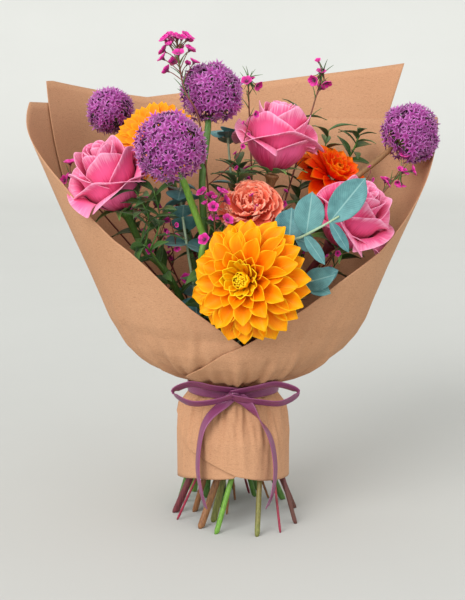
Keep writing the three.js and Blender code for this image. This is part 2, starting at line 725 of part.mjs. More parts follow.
// A leaf that grows from a point along a direction, its face turned as near to `face` as it can be.
function leafBody({ point, forward, face, length, width, curl = -20, rows = 3, cup = 0.2, widest = 0.5 }) {
  const up = face.clone().addScaledVector(forward, -face.dot(forward)).normalize();
  const across = forward.clone().cross(up).normalize();
  const matrix = new THREE.Matrix4().makeBasis(across, forward, up)
    .setPosition(point.clone().addScaledVector(forward, LEAF_ROOT));
  return blade(placed(bladeGrid({ length, width, rows, curl, cup, root: LEAF_NECK, widest }), matrix));
}

// The direction square to a stem, turned round it from the right-hand side by degrees.
function aside(tangent, turn) {
  return V(1, 0, 0).addScaledVector(tangent, -tangent.x).normalize()
    .applyAxisAngle(tangent, radians(turn));
}

// Tries a body at its own turn and then a little further round each way, until it stands clear.
const LEAF_TURNS = [0, 15, -15, 30, -30, 45, -45, 65, -65, 90, -90];
function fitted(make) {
  for (const extra of LEAF_TURNS) {
    const body = make(extra);
    if (isClear(body)) return [body];
  }
  return [];
}

// A leaf at a share of the way up a stem: turn round it, tilt up from square, length, width.
function sideLeaf(path, { share, turn, tilt, ...shape }) {
  const { point, tangent } = onPath(path, share);
  return fitted((extra) => {
    const forward = aside(tangent, turn + extra).multiplyScalar(Math.cos(radians(tilt)))
      .addScaledVector(tangent, Math.sin(radians(tilt)));
    return leafBody({ point, forward, face: tangent, ...shape });
  });
}

// A leaf from the place nearest to `at` on its stem towards `to`, its face to the front.
const FRONT = V(0, -1, 0.3);
const FACING_ROOT = 0.6;
function facingLeaf(path, { at, to, ...shape }) {
  const wanted = V(...at);
  const nearest = { distance: Infinity };
  for (let i = 0; i + 1 < path.length; i += 1) {
    const point = new THREE.Line3(path[i], path[i + 1]).closestPointToPoint(wanted, true, V(0, 0, 0));
    const distance = point.distanceTo(wanted);
    if (distance < nearest.distance) Object.assign(nearest, { distance, point });
  }
  const reach = V(...to).sub(nearest.point);
  const turnAxis = reach.clone().normalize();
  const point = nearest.point.addScaledVector(turnAxis, -FACING_ROOT);
  return fitted((extra) => leafBody({
    point, forward: turnAxis, face: FRONT.clone().applyAxisAngle(turnAxis, radians(extra)),
    length: reach.length(), ...shape,
  }));
}

// A rooted stem for anything leafy: points it passes, tip and heading there.
function sprigStem({ tip, heading, vias = [], radius, tipRadius, sides }) {
  const end = V(...tip);
  const upright = heading ? V(...heading).normalize() : null;
  return layStem(
    end, radius,
    (line) => stemPath(line, vias, end, upright, STEM_STEPS + 1),
    (path) => stemRod(path, tapering(path, radius, tipRadius), sides),
  );
}

// Eucalyptus: round blue-green leaves in pairs, each pair turned a quarter from the one below; the
// leaf at the back of a pair tilts up and the one in front hangs a little. Some leaves are set by
// where they grow from and point to: { at, to, width }.
const EUCALYPTUS = [
  {
    name: "eucalyptus_right", tip: [84, -98, 292], heading: [0.8, -0.1, 0.5],
    vias: [[22, -62, 250], [56, -92, 275]], radius: 2,
    leaves: [
      { at: [78, -96, 286], to: [107, -92, 325], width: 27 },
      { at: [78, -96, 286], to: [93, -104, 262], width: 9 },
      { at: [57, -92, 276], to: [62, -94, 312], width: 26 },
      { at: [56, -92, 275], to: [73, -102, 252], width: 10 },
      { at: [45, -80, 268], to: [46, -74, 298], width: 28 },
      { at: [50, -86, 270], to: [68, -78, 264], width: 16 },
    ],
  },
  {
    name: "eucalyptus_left", tip: [-50, -34, 314], heading: [0, 0.1, 1], vias: [[-45, -44, 262]],
    radius: 2, first: 0.5, pairs: 5, length: 22, width: 31, turn: 90, tilt: 22, hang: -8,
  },
  {
    name: "eucalyptus_low", tip: [70, -82, 236], heading: [0.8, -0.4, 0.3], vias: [[42, -58, 214]],
    radius: 1.6,
    leaves: [
      { at: [58, -76, 228], to: [80, -94, 242], width: 20 },
      { at: [66, -80, 233], to: [86, -80, 244], width: 13 },
      { at: [60, -76, 228], to: [78, -90, 226], width: 14 },
    ],
  },
  {
    name: "eucalyptus_back", tip: [-8, 42, 352], heading: [0, 0.2, 1], vias: [], radius: 1.8,
    first: 0.62, pairs: 4, length: 22, width: 24, turn: 90, tilt: 25, hang: 0,
  },
];
for (const sprig of EUCALYPTUS) {
  const { path, body } = sprigStem({ ...sprig, tipRadius: 1, sides: 5 });
  const solids = [body];
  const shape = { curl: -15, cup: 0.15, widest: 0.55 };
  (sprig.leaves ?? []).forEach((leaf) => solids.push(...facingLeaf(path, { ...leaf, ...shape })));
  for (let pair = 0; pair < (sprig.pairs ?? 0); pair += 1) {
    const share = sprig.first + ((0.97 - sprig.first) * pair) / (sprig.pairs - 1);
    const size = 1 - 0.3 * (pair / sprig.pairs);
    for (const [half, tilt] of [[0, sprig.tilt], [180, sprig.hang]]) {
      solids.push(...sideLeaf(path, {
        share, turn: sprig.turn + 90 * pair + half, tilt, length: sprig.length * size,
        width: sprig.width * size, rows: 2, ...shape,
      }));
    }
  }
  addPiece(sprig.name, joined(solids), 0x6d9d9f);
}

// Waxflower: a twig with small five-petalled flowers on thin stalks, and needle leaves.
const WAX_PETALS = 5;
const WAX_CUP = 3;
const STALK = 0.6;
const STALK_ROOT = 1.2;          // how far past the twig's middle a stalk starts
const WAX_RADIUS = 5.5;
function waxFlower(root, centre, radius) {
  const heading = centre.clone().sub(root).normalize();
  const side = V(1, 0, 0).addScaledVector(heading, -heading.x).normalize();
  const rim = WAX_PETALS * 2;
  const around = (turn, reach, rise) => centre.clone()
    .addScaledVector(side.clone().applyAxisAngle(heading, turn), reach).addScaledVector(heading, rise);
  const points = [centre.clone(), root.clone().addScaledVector(heading, -STALK_ROOT)];
  for (let i = 0; i < rim; i += 1) {
    points.push(around((Math.PI * i) / WAX_PETALS, i % 2 ? radius * 0.5 : radius, i % 2 ? 0.6 : 1.4));
  }
  for (let i = 0; i < WAX_PETALS; i += 1) {
    points.push(around((2 * Math.PI * (i + 0.5)) / WAX_PETALS, STALK * 1.6, -WAX_CUP));
  }
  const triangles = [];
  for (let i = 0; i < rim; i += 1) {
    triangles.push([0, 2 + i, 2 + ((i + 1) % rim)]);
  }
  for (let i = 0; i < WAX_PETALS; i += 1) {
    const foot = 2 + rim + i;
    const nextFoot = 2 + rim + ((i + 1) % WAX_PETALS);
    const notch = 2 + 2 * i + 1;
    const tip = 2 + 2 * i;
    const nextTip = 2 + ((2 * i + 2) % rim);
    triangles.push([foot, notch, tip], [foot, nextTip, notch]);
    triangles.push([foot, nextFoot, nextTip], [1, nextFoot, foot]);
  }
  return solid(points, triangles);
}

function needle(from, to, radius) {
  const tangent = to.clone().sub(from).normalize();
  const side = V(0.3, 1, 0).cross(tangent).normalize();
  const base = [0, 1, 2].map((i) => (
    from.clone().addScaledVector(side.clone().applyAxisAngle(tangent, (2 * Math.PI * i) / 3), radius)
  ));
  return solid([...base, to], [[0, 2, 1], [0, 1, 3], [1, 2, 3], [2, 0, 3]]);
}

// Rows: tip, heading, points passed; where the first flower stands; flowers, their reach, needles.
const WAXFLOWER = [
  {
    name: "waxflower_top", tip: [-52, -30, 434], heading: [-0.05, 0.4, 0.9],
    vias: [[-30, -46, 350], [-45, -50, 393]], first: 0.76, flowers: 8, reach: 18, needles: 6,
  },
  {
    name: "waxflower_left", tip: [-80, -34, 286], heading: [-0.4, -0.1, 0.9], vias: [],
    first: 0.6, flowers: 7, reach: 18, needles: 4,
  },
  {
    name: "waxflower_mid", tip: [-20, -72, 300], heading: [0, -0.1, 1], vias: [],
    first: 0.7, flowers: 5, reach: 15, needles: 4,
  },
  {
    name: "waxflower_back", tip: [12, 34, 398], heading: [0.1, 0.1, 1], vias: [],
    first: 0.66, flowers: 3, reach: 18, needles: 10,
  },
  {
    name: "waxflower_right_top", tip: [76, 34, 404], heading: [0.2, 0.05, 1], vias: [],
    first: 0.66, flowers: 5, reach: 20, needles: 8,
  },
  {
    name: "waxflower_right", tip: [146, -8, 318], heading: [0.7, 0, 0.7], vias: [],
    first: 0.7, flowers: 6, reach: 15, needles: 5,
  },
  {
    name: "waxflower_far_left", tip: [-148, -14, 314], heading: [-0.7, 0, 0.7], vias: [],
    first: 0.78, flowers: 4, reach: 13, needles: 3,
  },
];
for (const [number, sprig] of WAXFLOWER.entries()) {
  const { path, body } = sprigStem({ ...sprig, radius: 1.4, tipRadius: 0.7, sides: 3 });
  const solids = [body];
  for (let i = 0; i < sprig.flowers; i += 1) {
    const share = sprig.first + ((0.99 - sprig.first) * i) / (sprig.flowers - 1);
    const { point, tangent } = onPath(path, share);
    const reach = sprig.reach * (1 - 0.35 * (i / sprig.flowers));
    solids.push(...fitted((extra) => waxFlower(point, point.clone()
      .addScaledVector(aside(tangent, 137.5 * i + 40 * number + extra), reach * 0.7)
      .addScaledVector(tangent, reach * 0.8), WAX_RADIUS)));
  }
  for (let i = 0; i < sprig.needles; i += 1) {
    const share = sprig.first - 0.05 + ((1.03 - sprig.first) * i) / sprig.needles;
    const { point, tangent } = onPath(path, share);
    solids.push(...fitted((extra) => needle(point, point.clone()
      .addScaledVector(aside(tangent, 101 * i + 20 + extra), 8).addScaledVector(tangent, 9), 0.8)));
  }
  addPiece(sprig.name, joined(solids), 0xb82f86);
}

// Dark leafy filler: narrow leaves one after another round the stem.
const FOLIAGE = [
  { name: "foliage_left", tip: [-84, -58, 262], heading: [-0.6, -0.3, 0.6], first: 0.55, length: 32 },
  { name: "foliage_mid", tip: [-14, -46, 282], heading: [0, -0.2, 1], first: 0.55, length: 34 },
  {
    name: "foliage_right", tip: [114, 60, 352], heading: [0.2, 0, 0.9], vias: [[84, 72, 285]],
    first: 0.6, length: 34,
  },
  { name: "foliage_back", tip: [30, 70, 330], heading: [0.1, 0.4, 0.9], first: 0.55, length: 38 },
];
const FOLIAGE_LEAVES = 7;
for (const sprig of FOLIAGE) {
  const { path, body } = sprigStem({ ...sprig, radius: 1.8, tipRadius: 0.8, sides: 4 });
  const solids = [body];
  for (let i = 0; i < FOLIAGE_LEAVES; i += 1) {
    solids.push(...sideLeaf(path, {
      share: sprig.first + ((0.93 - sprig.first) * i) / (FOLIAGE_LEAVES - 1), turn: 137.5 * i,
      tilt: 35, length: sprig.length * (1 - 0.03 * i), width: 12, curl: -25, rows: 2,
    }));
  }
  addPiece(sprig.name, joined(solids), 0x3d5b34);
}

// ---------------------------------------------------------------- twine and ribbon
const RING_STEPS = 24;
const TWINE_SIDES = 4;
const TWINE_SPACE = 1.5;         // from the bundle's outline to the middle of the twine
const twineRings = [];
for (let i = 0; i < RING_STEPS; i += 1) {
  const angle = (2 * Math.PI * i) / RING_STEPS;
  const ring = [];
  for (let j = 0; j < TWINE_SIDES; j += 1) {
    const turn = (2 * Math.PI * j) / TWINE_SIDES;
    const out = TWINE_SPACE + TWINE_RADIUS * Math.cos(turn);
    ring.push(V(
      TIE_X + (TIE_HALF_WIDTH + out) * Math.cos(angle),
      (TIE_HALF_DEPTH + out) * Math.sin(angle),
      TIE_Z + TWINE_RADIUS * Math.sin(turn),
    ));
  }
  twineRings.push(ring);
}
addPiece("binding_twine", closedLoft(twineRings), 0x8a6a48, 0.9);

// A flat strip along a line of points: at each point the direction of its width.
function strip(points, widths, thickness = RIBBON_THICKNESS, width = RIBBON_WIDTH) {
  return points.map((point, i) => {
    const before = points[Math.max(i - 1, 0)];
    const after = points[Math.min(i + 1, points.length - 1)];
    const tangent = after.clone().sub(before).normalize();
    const across = widths[i].clone().addScaledVector(tangent, -tangent.dot(widths[i])).normalize();
    const normal = tangent.clone().cross(across);
    return [[1, 1], [-1, 1], [-1, -1], [1, -1]].map(([a, b]) => point.clone()
      .addScaledVector(across, (a * width) / 2).addScaledVector(normal, (b * thickness) / 2));
  });
}

const BAND_SPACE = 5.7;          // from the waist's mean outline to the middle of the band
const BAND_HALF_WIDTH = 36.4 + BAND_SPACE;
const BAND_HALF_DEPTH = 28.4 + BAND_SPACE;
const BAND_Z = 122.5;
const bandRings = [];
for (let i = 0; i < RING_STEPS; i += 1) {
  const angle = (2 * Math.PI * i) / RING_STEPS;
  bandRings.push([[1, 1], [-1, 1], [-1, -1], [1, -1]].map(([a, b]) => V(
    TIE_X + (BAND_HALF_WIDTH + (a * RIBBON_THICKNESS) / 2) * Math.cos(angle),
    (BAND_HALF_DEPTH + (a * RIBBON_THICKNESS) / 2) * Math.sin(angle),
    BAND_Z + (b * RIBBON_WIDTH) / 2,
  )));
}
const KNOT = V(-3, -BAND_HALF_DEPTH - 4.9, BAND_Z + 1);
const KNOT_RADIUS = 6;
const KNOT_HALF_HEIGHT = 5.5;
const smooth = (list, steps) => (
  new THREE.CatmullRomCurve3(list.map((p) => V(...p)), false, "centripetal").getPoints(steps)
);

// Each loop of the bow: from the knot out, round its end and back.
const LOOPS = [
  [
    [-1.2, -43.2, 127.2], [-22, -48, 131], [-42, -49, 135], [-57, -46, 127], [-43, -47, 117],
    [-22, -47, 118], [-1.6, -44, 123.2],
  ],
  [
    [-5.3, -42.9, 125], [16, -48, 131], [35, -49, 135], [54, -46, 127], [40, -47, 117],
    [18, -47, 118], [-4.9, -44.6, 121.2],
  ],
];
// Each tail: from the knot down over the skirt, turning its edge to the front on the way.
const TAILS = [
  [
    [-1.7, -37.6, 124.4], [-12, -40.2, 115], [-26, -46, 103], [-33, -50, 88], [-36, -55, 60],
    [-33, -58, 38], [-29, -56, 22],
  ],
  [
    [-4.4, -40.6, 123.9], [8, -42, 116], [20, -46, 101], [30, -50, 84], [34, -55, 60],
    [32, -58, 38], [27, -56, 22],
  ],
];
const UNDERSIDE = 2;             // which side of a strip's ring of corners is its lower face
const isUnderside = (step, side) => side === UNDERSIDE;
const LOOP_STEPS = 10;
const TAIL_STEPS = 7;
const ribbonSolids = [closedLoft(bandRings)];
for (const loop of LOOPS) {
  const points = smooth(loop, LOOP_STEPS);
  ribbonSolids.push(loft(strip(points, points.map(() => V(0, -1, 0.35))), isUnderside));
}
for (const [number, tail] of TAILS.entries()) {
  const points = smooth(tail, TAIL_STEPS);
  const lie = V(1, 0, 0);
  const onEdge = V(number ? -0.35 : 0.35, -0.95, 0);
  ribbonSolids.push(loft(strip(points, points.map((p, i) => (
    lie.clone().lerp(onEdge, Math.min((1.6 * i) / points.length, 1))
  ))), isUnderside));
}
ribbonSolids.push(core(KNOT_RADIUS, KNOT_HALF_HEIGHT).translate([KNOT.x, KNOT.y, KNOT.z]));
addPiece("ribbon", joined(ribbonSolids), 0x96557a, 0.35);

// ---------------------------------------------------------------- stand it on its own middle
const box = new THREE.Box3().setFromObject(bouquet, true);
const middle = box.getCenter(V(0, 0, 0));
bouquet.position.set(-middle.x, -middle.y, -box.min.z);

export default bouquet;
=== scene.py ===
import math

import bmesh
import bpy
from mathutils import Matrix, Vector


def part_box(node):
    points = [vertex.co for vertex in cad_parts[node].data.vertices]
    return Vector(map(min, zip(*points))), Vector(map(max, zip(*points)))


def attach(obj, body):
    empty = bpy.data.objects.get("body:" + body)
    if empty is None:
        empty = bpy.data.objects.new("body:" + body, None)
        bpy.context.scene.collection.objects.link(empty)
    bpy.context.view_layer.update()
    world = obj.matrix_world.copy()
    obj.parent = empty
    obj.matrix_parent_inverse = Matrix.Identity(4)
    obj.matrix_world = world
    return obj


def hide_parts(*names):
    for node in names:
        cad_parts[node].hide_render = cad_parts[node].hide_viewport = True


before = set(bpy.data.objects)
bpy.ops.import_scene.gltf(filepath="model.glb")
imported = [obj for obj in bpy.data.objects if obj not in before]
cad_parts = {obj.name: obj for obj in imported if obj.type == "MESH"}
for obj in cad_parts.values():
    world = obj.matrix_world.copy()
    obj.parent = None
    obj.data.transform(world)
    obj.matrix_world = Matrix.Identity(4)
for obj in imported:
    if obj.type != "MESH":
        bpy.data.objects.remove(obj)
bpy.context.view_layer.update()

# ------------------------------------------------------------------ the stand
# The bouquet stands on a pale floor in a pale room, lit softly from above and from the left.
# Lengths are in millimetres, from the floor and from an axis beside the bundle's tie.
TIE_PLACE = Vector((-4, 0, 122))
tie_low, tie_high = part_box("binding_twine")
tie_middle = (Vector(tie_low) + Vector(tie_high)) / 2


def place(x, y, z):
    """A place in the scene, in metres, from the bouquet's millimetres."""
    return tie_middle + (Vector((x, y, z)) - TIE_PLACE) / 1000


def shade(red, green, blue):
    """A colour as a shader takes it, from the everyday 0 to 255."""
    values = [c / 255 for c in (red, green, blue)]
    return [c / 12.92 if c <= 0.04045 else ((c + 0.055) / 1.055) ** 2.4 for c in values] + [1]


def nodes_of(name, roughness=0.6, sheen=0.0, specular=0.4):
    """A new material, and its shader."""
    material = bpy.data.materials.new(name)
    material.use_nodes = True
    shader = material.node_tree.nodes["Principled BSDF"]
    shader.inputs["Roughness"].default_value = roughness
    shader.inputs["Specular IOR Level"].default_value = specular
    if sheen:
        shader.inputs["Sheen Weight"].default_value = sheen
    return material, shader


def add_node(material, kind, values=(), **settings):
    node = material.node_tree.nodes.new(kind)
    for key, value in settings.items():
        setattr(node, key, value)
    for key, value in dict(values).items():
        node.inputs[key].default_value = value
    return node


def wire(material, start, end):
    material.node_tree.links.new(start, end)


def colour_ramp(material, driver, stops):
    ramp = add_node(material, "ShaderNodeValToRGB")
    elements = ramp.color_ramp.elements
    while len(elements) < len(stops):
        elements.new(0.5)
    for element, (where, colour) in zip(elements, stops):
        element.position = where
        element.color = colour
    wire(material, driver, ramp.inputs["Fac"])
    return ramp.outputs["Color"]


def speckle(material, source, scale, detail=3.0, rough=0.55):
    noise = add_node(material, "ShaderNodeTexNoise", {"Scale": scale, "Detail": detail, "Roughness": rough})
    wire(material, source, noise.inputs["Vector"])
    return noise.outputs["Fac"]


def object_place(material):
    """The place of a point on the piece itself, for patterns that stay with it."""
    return add_node(material, "ShaderNodeTexCoord").outputs["Object"]


def paint(material, shader, colour):
    wire(material, colour, shader.inputs["Base Color"])


def deselect():
    bpy.ops.object.select_all(action="DESELECT")


def grid_piece(name, columns, rows, shape):
    """A grid laid on a shape: shape(u, v) gives a place for u across and v along, both 0 to 1."""
    deselect()
    bpy.ops.mesh.primitive_grid_add(x_subdivisions=columns, y_subdivisions=rows, size=2)
    piece = bpy.context.object
    piece.name = name
    piece.data.name = name
    for vertex in piece.data.vertices:
        vertex.co = shape((vertex.co.x + 1) / 2, (vertex.co.y + 1) / 2)
    piece.data.update()
    return piece


FLOOR_HALF = 7.0
SWEEP_START = 2.6
SWEEP_RADIUS = 1.2
BACKDROP_RISE = 4.0


def floor_shape(u, v):
    """A floor that runs level under the bouquet and then sweeps up behind it."""
    level = SWEEP_START + FLOOR_HALF
    bend = SWEEP_RADIUS * math.pi / 2
    run = v * (level + bend + BACKDROP_RISE)
    if run < level:
        y, z = run - FLOOR_HALF, 0.0
    elif run < level + bend:
        angle = (run - level) / SWEEP_RADIUS
        y, z = SWEEP_START + SWEEP_RADIUS * math.sin(angle), SWEEP_RADIUS * (1 - math.cos(angle))
    else:
        y, z = SWEEP_START + SWEEP_RADIUS, SWEEP_RADIUS + run - level - bend
    return Vector(((u - 0.5) * 2 * FLOOR_HALF, y, z))


floor = grid_piece("floor", 4, 80, floor_shape)
for polygon in floor.data.polygons:
    polygon.use_smooth = True
floor_material, floor_shader = nodes_of("pale_floor", roughness=0.95, specular=0.05)
floor_mottle = speckle(floor_material, object_place(floor_material), 3.0)
floor_tone = colour_ramp(
    floor_material, floor_mottle, [(0.3, shade(194, 195, 191)), (0.7, shade(196, 197, 193))],
)
paint(floor_material, floor_shader, floor_tone)
floor.data.materials.append(floor_material)

world = bpy.data.worlds.new("room")
world.use_nodes = True
room_light = world.node_tree.nodes["Background"]
room_light.inputs["Color"].default_value = (1, 1, 1, 1)
room_light.inputs["Strength"].default_value = 0.92
bpy.context.scene.world = world
bpy.context.scene.view_settings.view_transform = "Standard"


def far_light(name, direction, strength, softness):
    """A light so far off that it falls evenly; softness is the angle that it fills, in degrees."""
    data = bpy.data.lights.new(name, "SUN")
    data.energy = strength
    data.angle = math.radians(softness)
    light = bpy.data.objects.new(name, data)
    bpy.context.scene.collection.objects.link(light)
    light.rotation_euler = Vector(direction).to_track_quat("-Z", "Y").to_euler()


far_light("window", (0.62, 0.82, -0.66), 2.0, 40)
far_light("fill", (-0.75, 0.8, -0.35), 0.42, 60)

CAMERA_SPOT = (-4.6, -1148.5, 425.2)
CAMERA_AIM = (-4.6, 0, 202)
camera_data = bpy.data.cameras.new("camera")
camera_data.sensor_fit = "VERTICAL"
camera_data.sensor_height = 36
camera_data.lens = 76.3
camera = bpy.data.objects.new("camera", camera_data)
bpy.context.scene.collection.objects.link(camera)
camera.location = place(*CAMERA_SPOT)
camera.rotation_euler = (place(*CAMERA_AIM) - camera.location).to_track_quat("-Z", "Y").to_euler()
bpy.context.scene.camera = camera

# ------------------------------------------------------------------ the kraft paper
# Two sheets of thin brown kraft paper are rolled round the stems one over the other, gathered in
# soft pleats under the ribbon and opened above it into a cone; their corners stand up as points.
CONE = [  # height, half width, half depth
    (5, 50.5, 67), (80, 50, 54), (104, 44.5, 38), (116, 36.4, 28.4), (129, 36.4, 28.4), (137, 58, 49),
    (144, 73, 62), (154, 88, 75), (164, 99, 84), (176, 108, 91.5), (190, 116.5, 99), (450, 224, 175),
]
CONE_WIDTH = [(height, width) for height, width, depth in CONE]
CONE_DEPTH = [(height, depth) for height, width, depth in CONE]
CONE_SHIFT = [(130, -4), (176, 0)]
PLEAT_DEPTH = [(80, 0), (104, 2.6), (116, 2), (129, 2), (137, 3), (154, 2), (170, 0)]
PLEATS = 12
FRONT_PRESS = 0.16
CREASE_DEPTH = [
    (34, 0.1), (70, 0.5), (96, 1.0), (116, 0.8), (130, 0.8), (146, 1.9), (172, 1.0), (215, 0.3), (260, 0),
]
PAPER_LAYER = 2.1
PAPER_THICKNESS = 0.0006
PAPER_GRID = (260, 84)
WHITE = (1, 1, 1, 1)
BLACK = (0, 0, 0, 1)


def blend_colours(material, share, first, second, way="MIX"):
    """Mixes two colours, each a socket or a fixed colour, by a share that is a socket or a number."""
    mix = add_node(material, "ShaderNodeMix", data_type="RGBA", blend_type=way)
    for socket, value in ((mix.inputs[0], share), (mix.inputs[6], first), (mix.inputs[7], second)):
        if isinstance(value, bpy.types.NodeSocket):
            wire(material, value, socket)
        else:
            socket.default_value = value
    return mix.outputs[2]


def sum_of(material, kind, first, second, clamp=False):
    node = add_node(material, "ShaderNodeMath", operation=kind, use_clamp=clamp)
    for socket, value in zip(node.inputs, (first, second)):
        if isinstance(value, bpy.types.NodeSocket):
            wire(material, value, socket)
        else:
            socket.default_value = value
    return node.outputs[0]


def relief(material, shader, height, strength, depth):
    bump = add_node(material, "ShaderNodeBump", {"Strength": strength, "Distance": depth})
    wire(material, height, bump.inputs["Height"])
    wire(material, bump.outputs["Normal"], shader.inputs["Normal"])


def stretched(material, source, scale):
    """The source's places drawn out by a scale of its own along each axis."""
    mapping = add_node(material, "ShaderNodeMapping", {"Scale": scale})
    wire(material, source, mapping.inputs["Vector"])
    return mapping.outputs["Vector"]


def choose(piece):
    deselect()
    piece.select_set(True)
    bpy.context.view_layer.objects.active = piece


def apply_modifier(piece, kind, **values):
    choose(piece)
    modifier = piece.modifiers.new("Shaping", kind)
    for key, value in values.items():
        setattr(modifier, key, value)
    bpy.ops.object.modifier_apply(modifier=modifier.name)


def finish_piece(piece, slot, material, *nodes):
    piece.data.materials.clear()
    piece.data.materials.append(material)
    for polygon in piece.data.polygons:
        polygon.use_smooth = True
    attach(piece, "root")
    if nodes:
        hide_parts(*nodes)


def along(line, x):
    """Reads a height or width from a few points, straight between them."""
    if x <= line[0][0]:
        return line[0][1]
    for (x0, y0), (x1, y1) in zip(line, line[1:]):
        if x <= x1:
            return y0 + (y1 - y0) * (x - x0) / (x1 - x0)
    return line[-1][1]


def smooth_step(x, low, high):
    t = min(max((x - low) / (high - low), 0), 1)
    return t * t * (3 - 2 * t)


def cone_point(azimuth, z):
    """A place on the pleated cone; the azimuth is 0 at the front and grows to the right."""
    angle = math.radians(azimuth)
    press = min(max((z - 140) / 40, 0), 1)
    flat = 1 - FRONT_PRESS * press * max(math.cos(angle), 0) ** 2
    pleat = along(PLEAT_DEPTH, z) * math.cos(PLEATS * angle)
    width, depth = along(CONE_WIDTH, z), along(CONE_DEPTH, z)
    return Vector((
        along(CONE_SHIFT, z) + (width + pleat) * flat * math.sin(angle),
        -(depth + pleat) * flat * math.cos(angle),
        z,
    ))


def cone_normal(azimuth, z):
    sideways = cone_point(azimuth + 12, z) - cone_point(azimuth - 12, z)
    upwards = cone_point(azimuth, z + 2) - cone_point(azimuth, z - 2)
    return sideways.cross(upwards).normalized()


def paper_crease(azimuth, z):
    """How far the paper stands off its smooth cone: sharp little gathers that fade away from the tie."""
    angle = math.radians(azimuth)
    wander = 0.5 * math.sin(3 * angle + z / 31) + 0.35 * math.sin(7 * angle - z / 17)
    first = 1 - 2 * abs(math.sin(14 * angle + 1.4 * wander + 0.6))
    second = 1 - 2 * abs(math.sin(23 * angle + 2.2 * wander + z / 40))
    third = math.sin(41 * angle - 3 * wander + z / 9)
    cross = math.sin(z / 4.2 + 5 * math.sin(9 * angle)) * math.sin(17 * angle + z / 13)
    gather = 0.75 * first + 0.5 * second + 0.16 * third + 0.25 * cross
    slow = 0.7 * math.sin(4 * angle + z / 45) + 0.4 * math.sin(9 * angle - z / 28)
    return along(CREASE_DEPTH, z) * gather + 0.55 * slow * smooth_step(z, 165, 230)


def paper_sheet(name, start, end, top, bottom, layer, lean=None):
    """A sheet from one azimuth to another between its rims, each rim and its layer read by azimuth."""
    def shape(u, v):
        azimuth = start + (end - start) * u
        low, high = along(bottom, azimuth), along(top, azimuth)
        share = v + 0.1 * math.sin(2 * math.pi * v) * smooth_step(high, 300, 380)
        z = low + (high - low) * share
        if lean and azimuth > lean[0]:
            slant = (azimuth - lean[0]) / (end - lean[0])
            azimuth = lean[0] + slant * (along(lean[1], z) - lean[0])
        settle = min(1, (1 - v) * 6) * min(1, v * 8 + 0.3)
        off = along(layer, azimuth) + paper_crease(azimuth, z) * settle
        spot = cone_point(azimuth, z) + cone_normal(azimuth, z) * off
        return place(*spot)

    piece = grid_piece(name, *PAPER_GRID, shape)
    apply_modifier(piece, "SOLIDIFY", thickness=PAPER_THICKNESS, offset=0)
    return piece


RIGHT_TOP = [
    (-90, 105), (-60, 123), (-40, 141), (-20, 156), (-8, 169), (4, 178), (16, 192), (31, 211), (44, 232),
    (51, 242), (62, 257), (73, 282), (90, 325), (105, 368), (122, 364), (151, 361), (180, 372),
    (208, 382), (221, 388), (240, 399), (258, 399),
]
RIGHT_BOTTOM = [
    (-90, 96), (-80, 88), (-51, 71), (-37, 67), (-17, 60), (3, 52), (30, 46), (90, 36), (258, 34),
]
RIGHT_LAYER = [
    (-90, 2 * PAPER_LAYER), (-60, PAPER_LAYER), (110, PAPER_LAYER), (135, 0), (258, 0),
]
LEFT_TOP = [
    (-230, 416), (-198, 402), (-169, 388), (-152, 382), (-119, 379), (-104, 381.5), (-92, 363),
    (-80, 343), (-67, 315), (-58, 288), (-50, 269), (-44, 259), (-38, 246), (-28, 222), (-22, 210),
    (-5, 186), (1, 178), (20, 156), (40, 132), (60, 106),
]
LEFT_BOTTOM = [
    (-230, 36), (-180, 30), (-90, 34), (-40, 46), (0, 50), (20, 62), (45, 84), (60, 97),
]
LEFT_LAYER = [(-230, PAPER_LAYER), (-90, PAPER_LAYER), (-60, 0), (60, 0)]
right_sheet = paper_sheet(
    "kraft_paper_right", -90, 258, RIGHT_TOP, RIGHT_BOTTOM, RIGHT_LAYER, (240, [(300, 258), (399, 243)])
)
left_sheet = paper_sheet("kraft_paper_left", -230, 60, LEFT_TOP, LEFT_BOTTOM, LEFT_LAYER)

kraft, kraft_shader = nodes_of("kraft_paper", roughness=0.78, specular=0.25)
kraft_place = object_place(kraft)
kraft_cloud = colour_ramp(
    kraft, speckle(kraft, kraft_place, 9, 4), [(0.3, shade(186, 138, 102)), (0.7, shade(200, 152, 116))]
)
kraft_fleck = speckle(kraft, stretched(kraft, kraft_place, (260, 260, 2600)), 1.0, 2)
kraft_dark = colour_ramp(kraft, kraft_fleck, [(0.34, WHITE), (0.4, BLACK)])
kraft_fine = speckle(kraft, kraft_place, 900, 3)
kraft_fine_tone = colour_ramp(kraft, kraft_fine, [(0.35, shade(160, 112, 78)), (0.7, shade(214, 168, 132))])
kraft_tone = blend_colours(kraft, 0.22, kraft_cloud, kraft_fine_tone)
kraft_share = sum_of(kraft, "MULTIPLY", kraft_dark, 0.45)
kraft_colour = blend_colours(kraft, kraft_share, kraft_tone, shade(140, 96, 66))
paint(kraft, kraft_shader, kraft_colour)
relief(kraft, kraft_shader, kraft_fine, 0.25, 0.0004)
finish_piece(right_sheet, "kraft_paper", kraft, "kraft_sheet_right")
finish_piece(left_sheet, "kraft_paper", kraft, "kraft_sheet_left")

# ------------------------------------------------------------------ the binding twine
# A turn of brown jute twine ties the stems under the paper, where the ribbon holds it. It keeps
# the shape of its solid, and slanting bands of colour stand for the twisted strands.
twine, twine_shader = nodes_of("jute_twine", roughness=0.9)
strands = add_node(
    twine, "ShaderNodeTexWave", {"Scale": 320, "Distortion": 3, "Detail": 2}, bands_direction="DIAGONAL"
)
wire(twine, object_place(twine), strands.inputs["Vector"])
twine_colour = colour_ramp(
    twine, strands.outputs["Fac"], [(0.2, shade(96, 70, 44)), (0.8, shade(172, 136, 92))],
)
paint(twine, twine_shader, twine_colour)
relief(twine, twine_shader, strands.outputs["Fac"], 0.6, 0.0005)
twine_node = bpy.data.objects["binding_twine"]
twine_node.data.materials.clear()
twine_node.data.materials.append(twine)

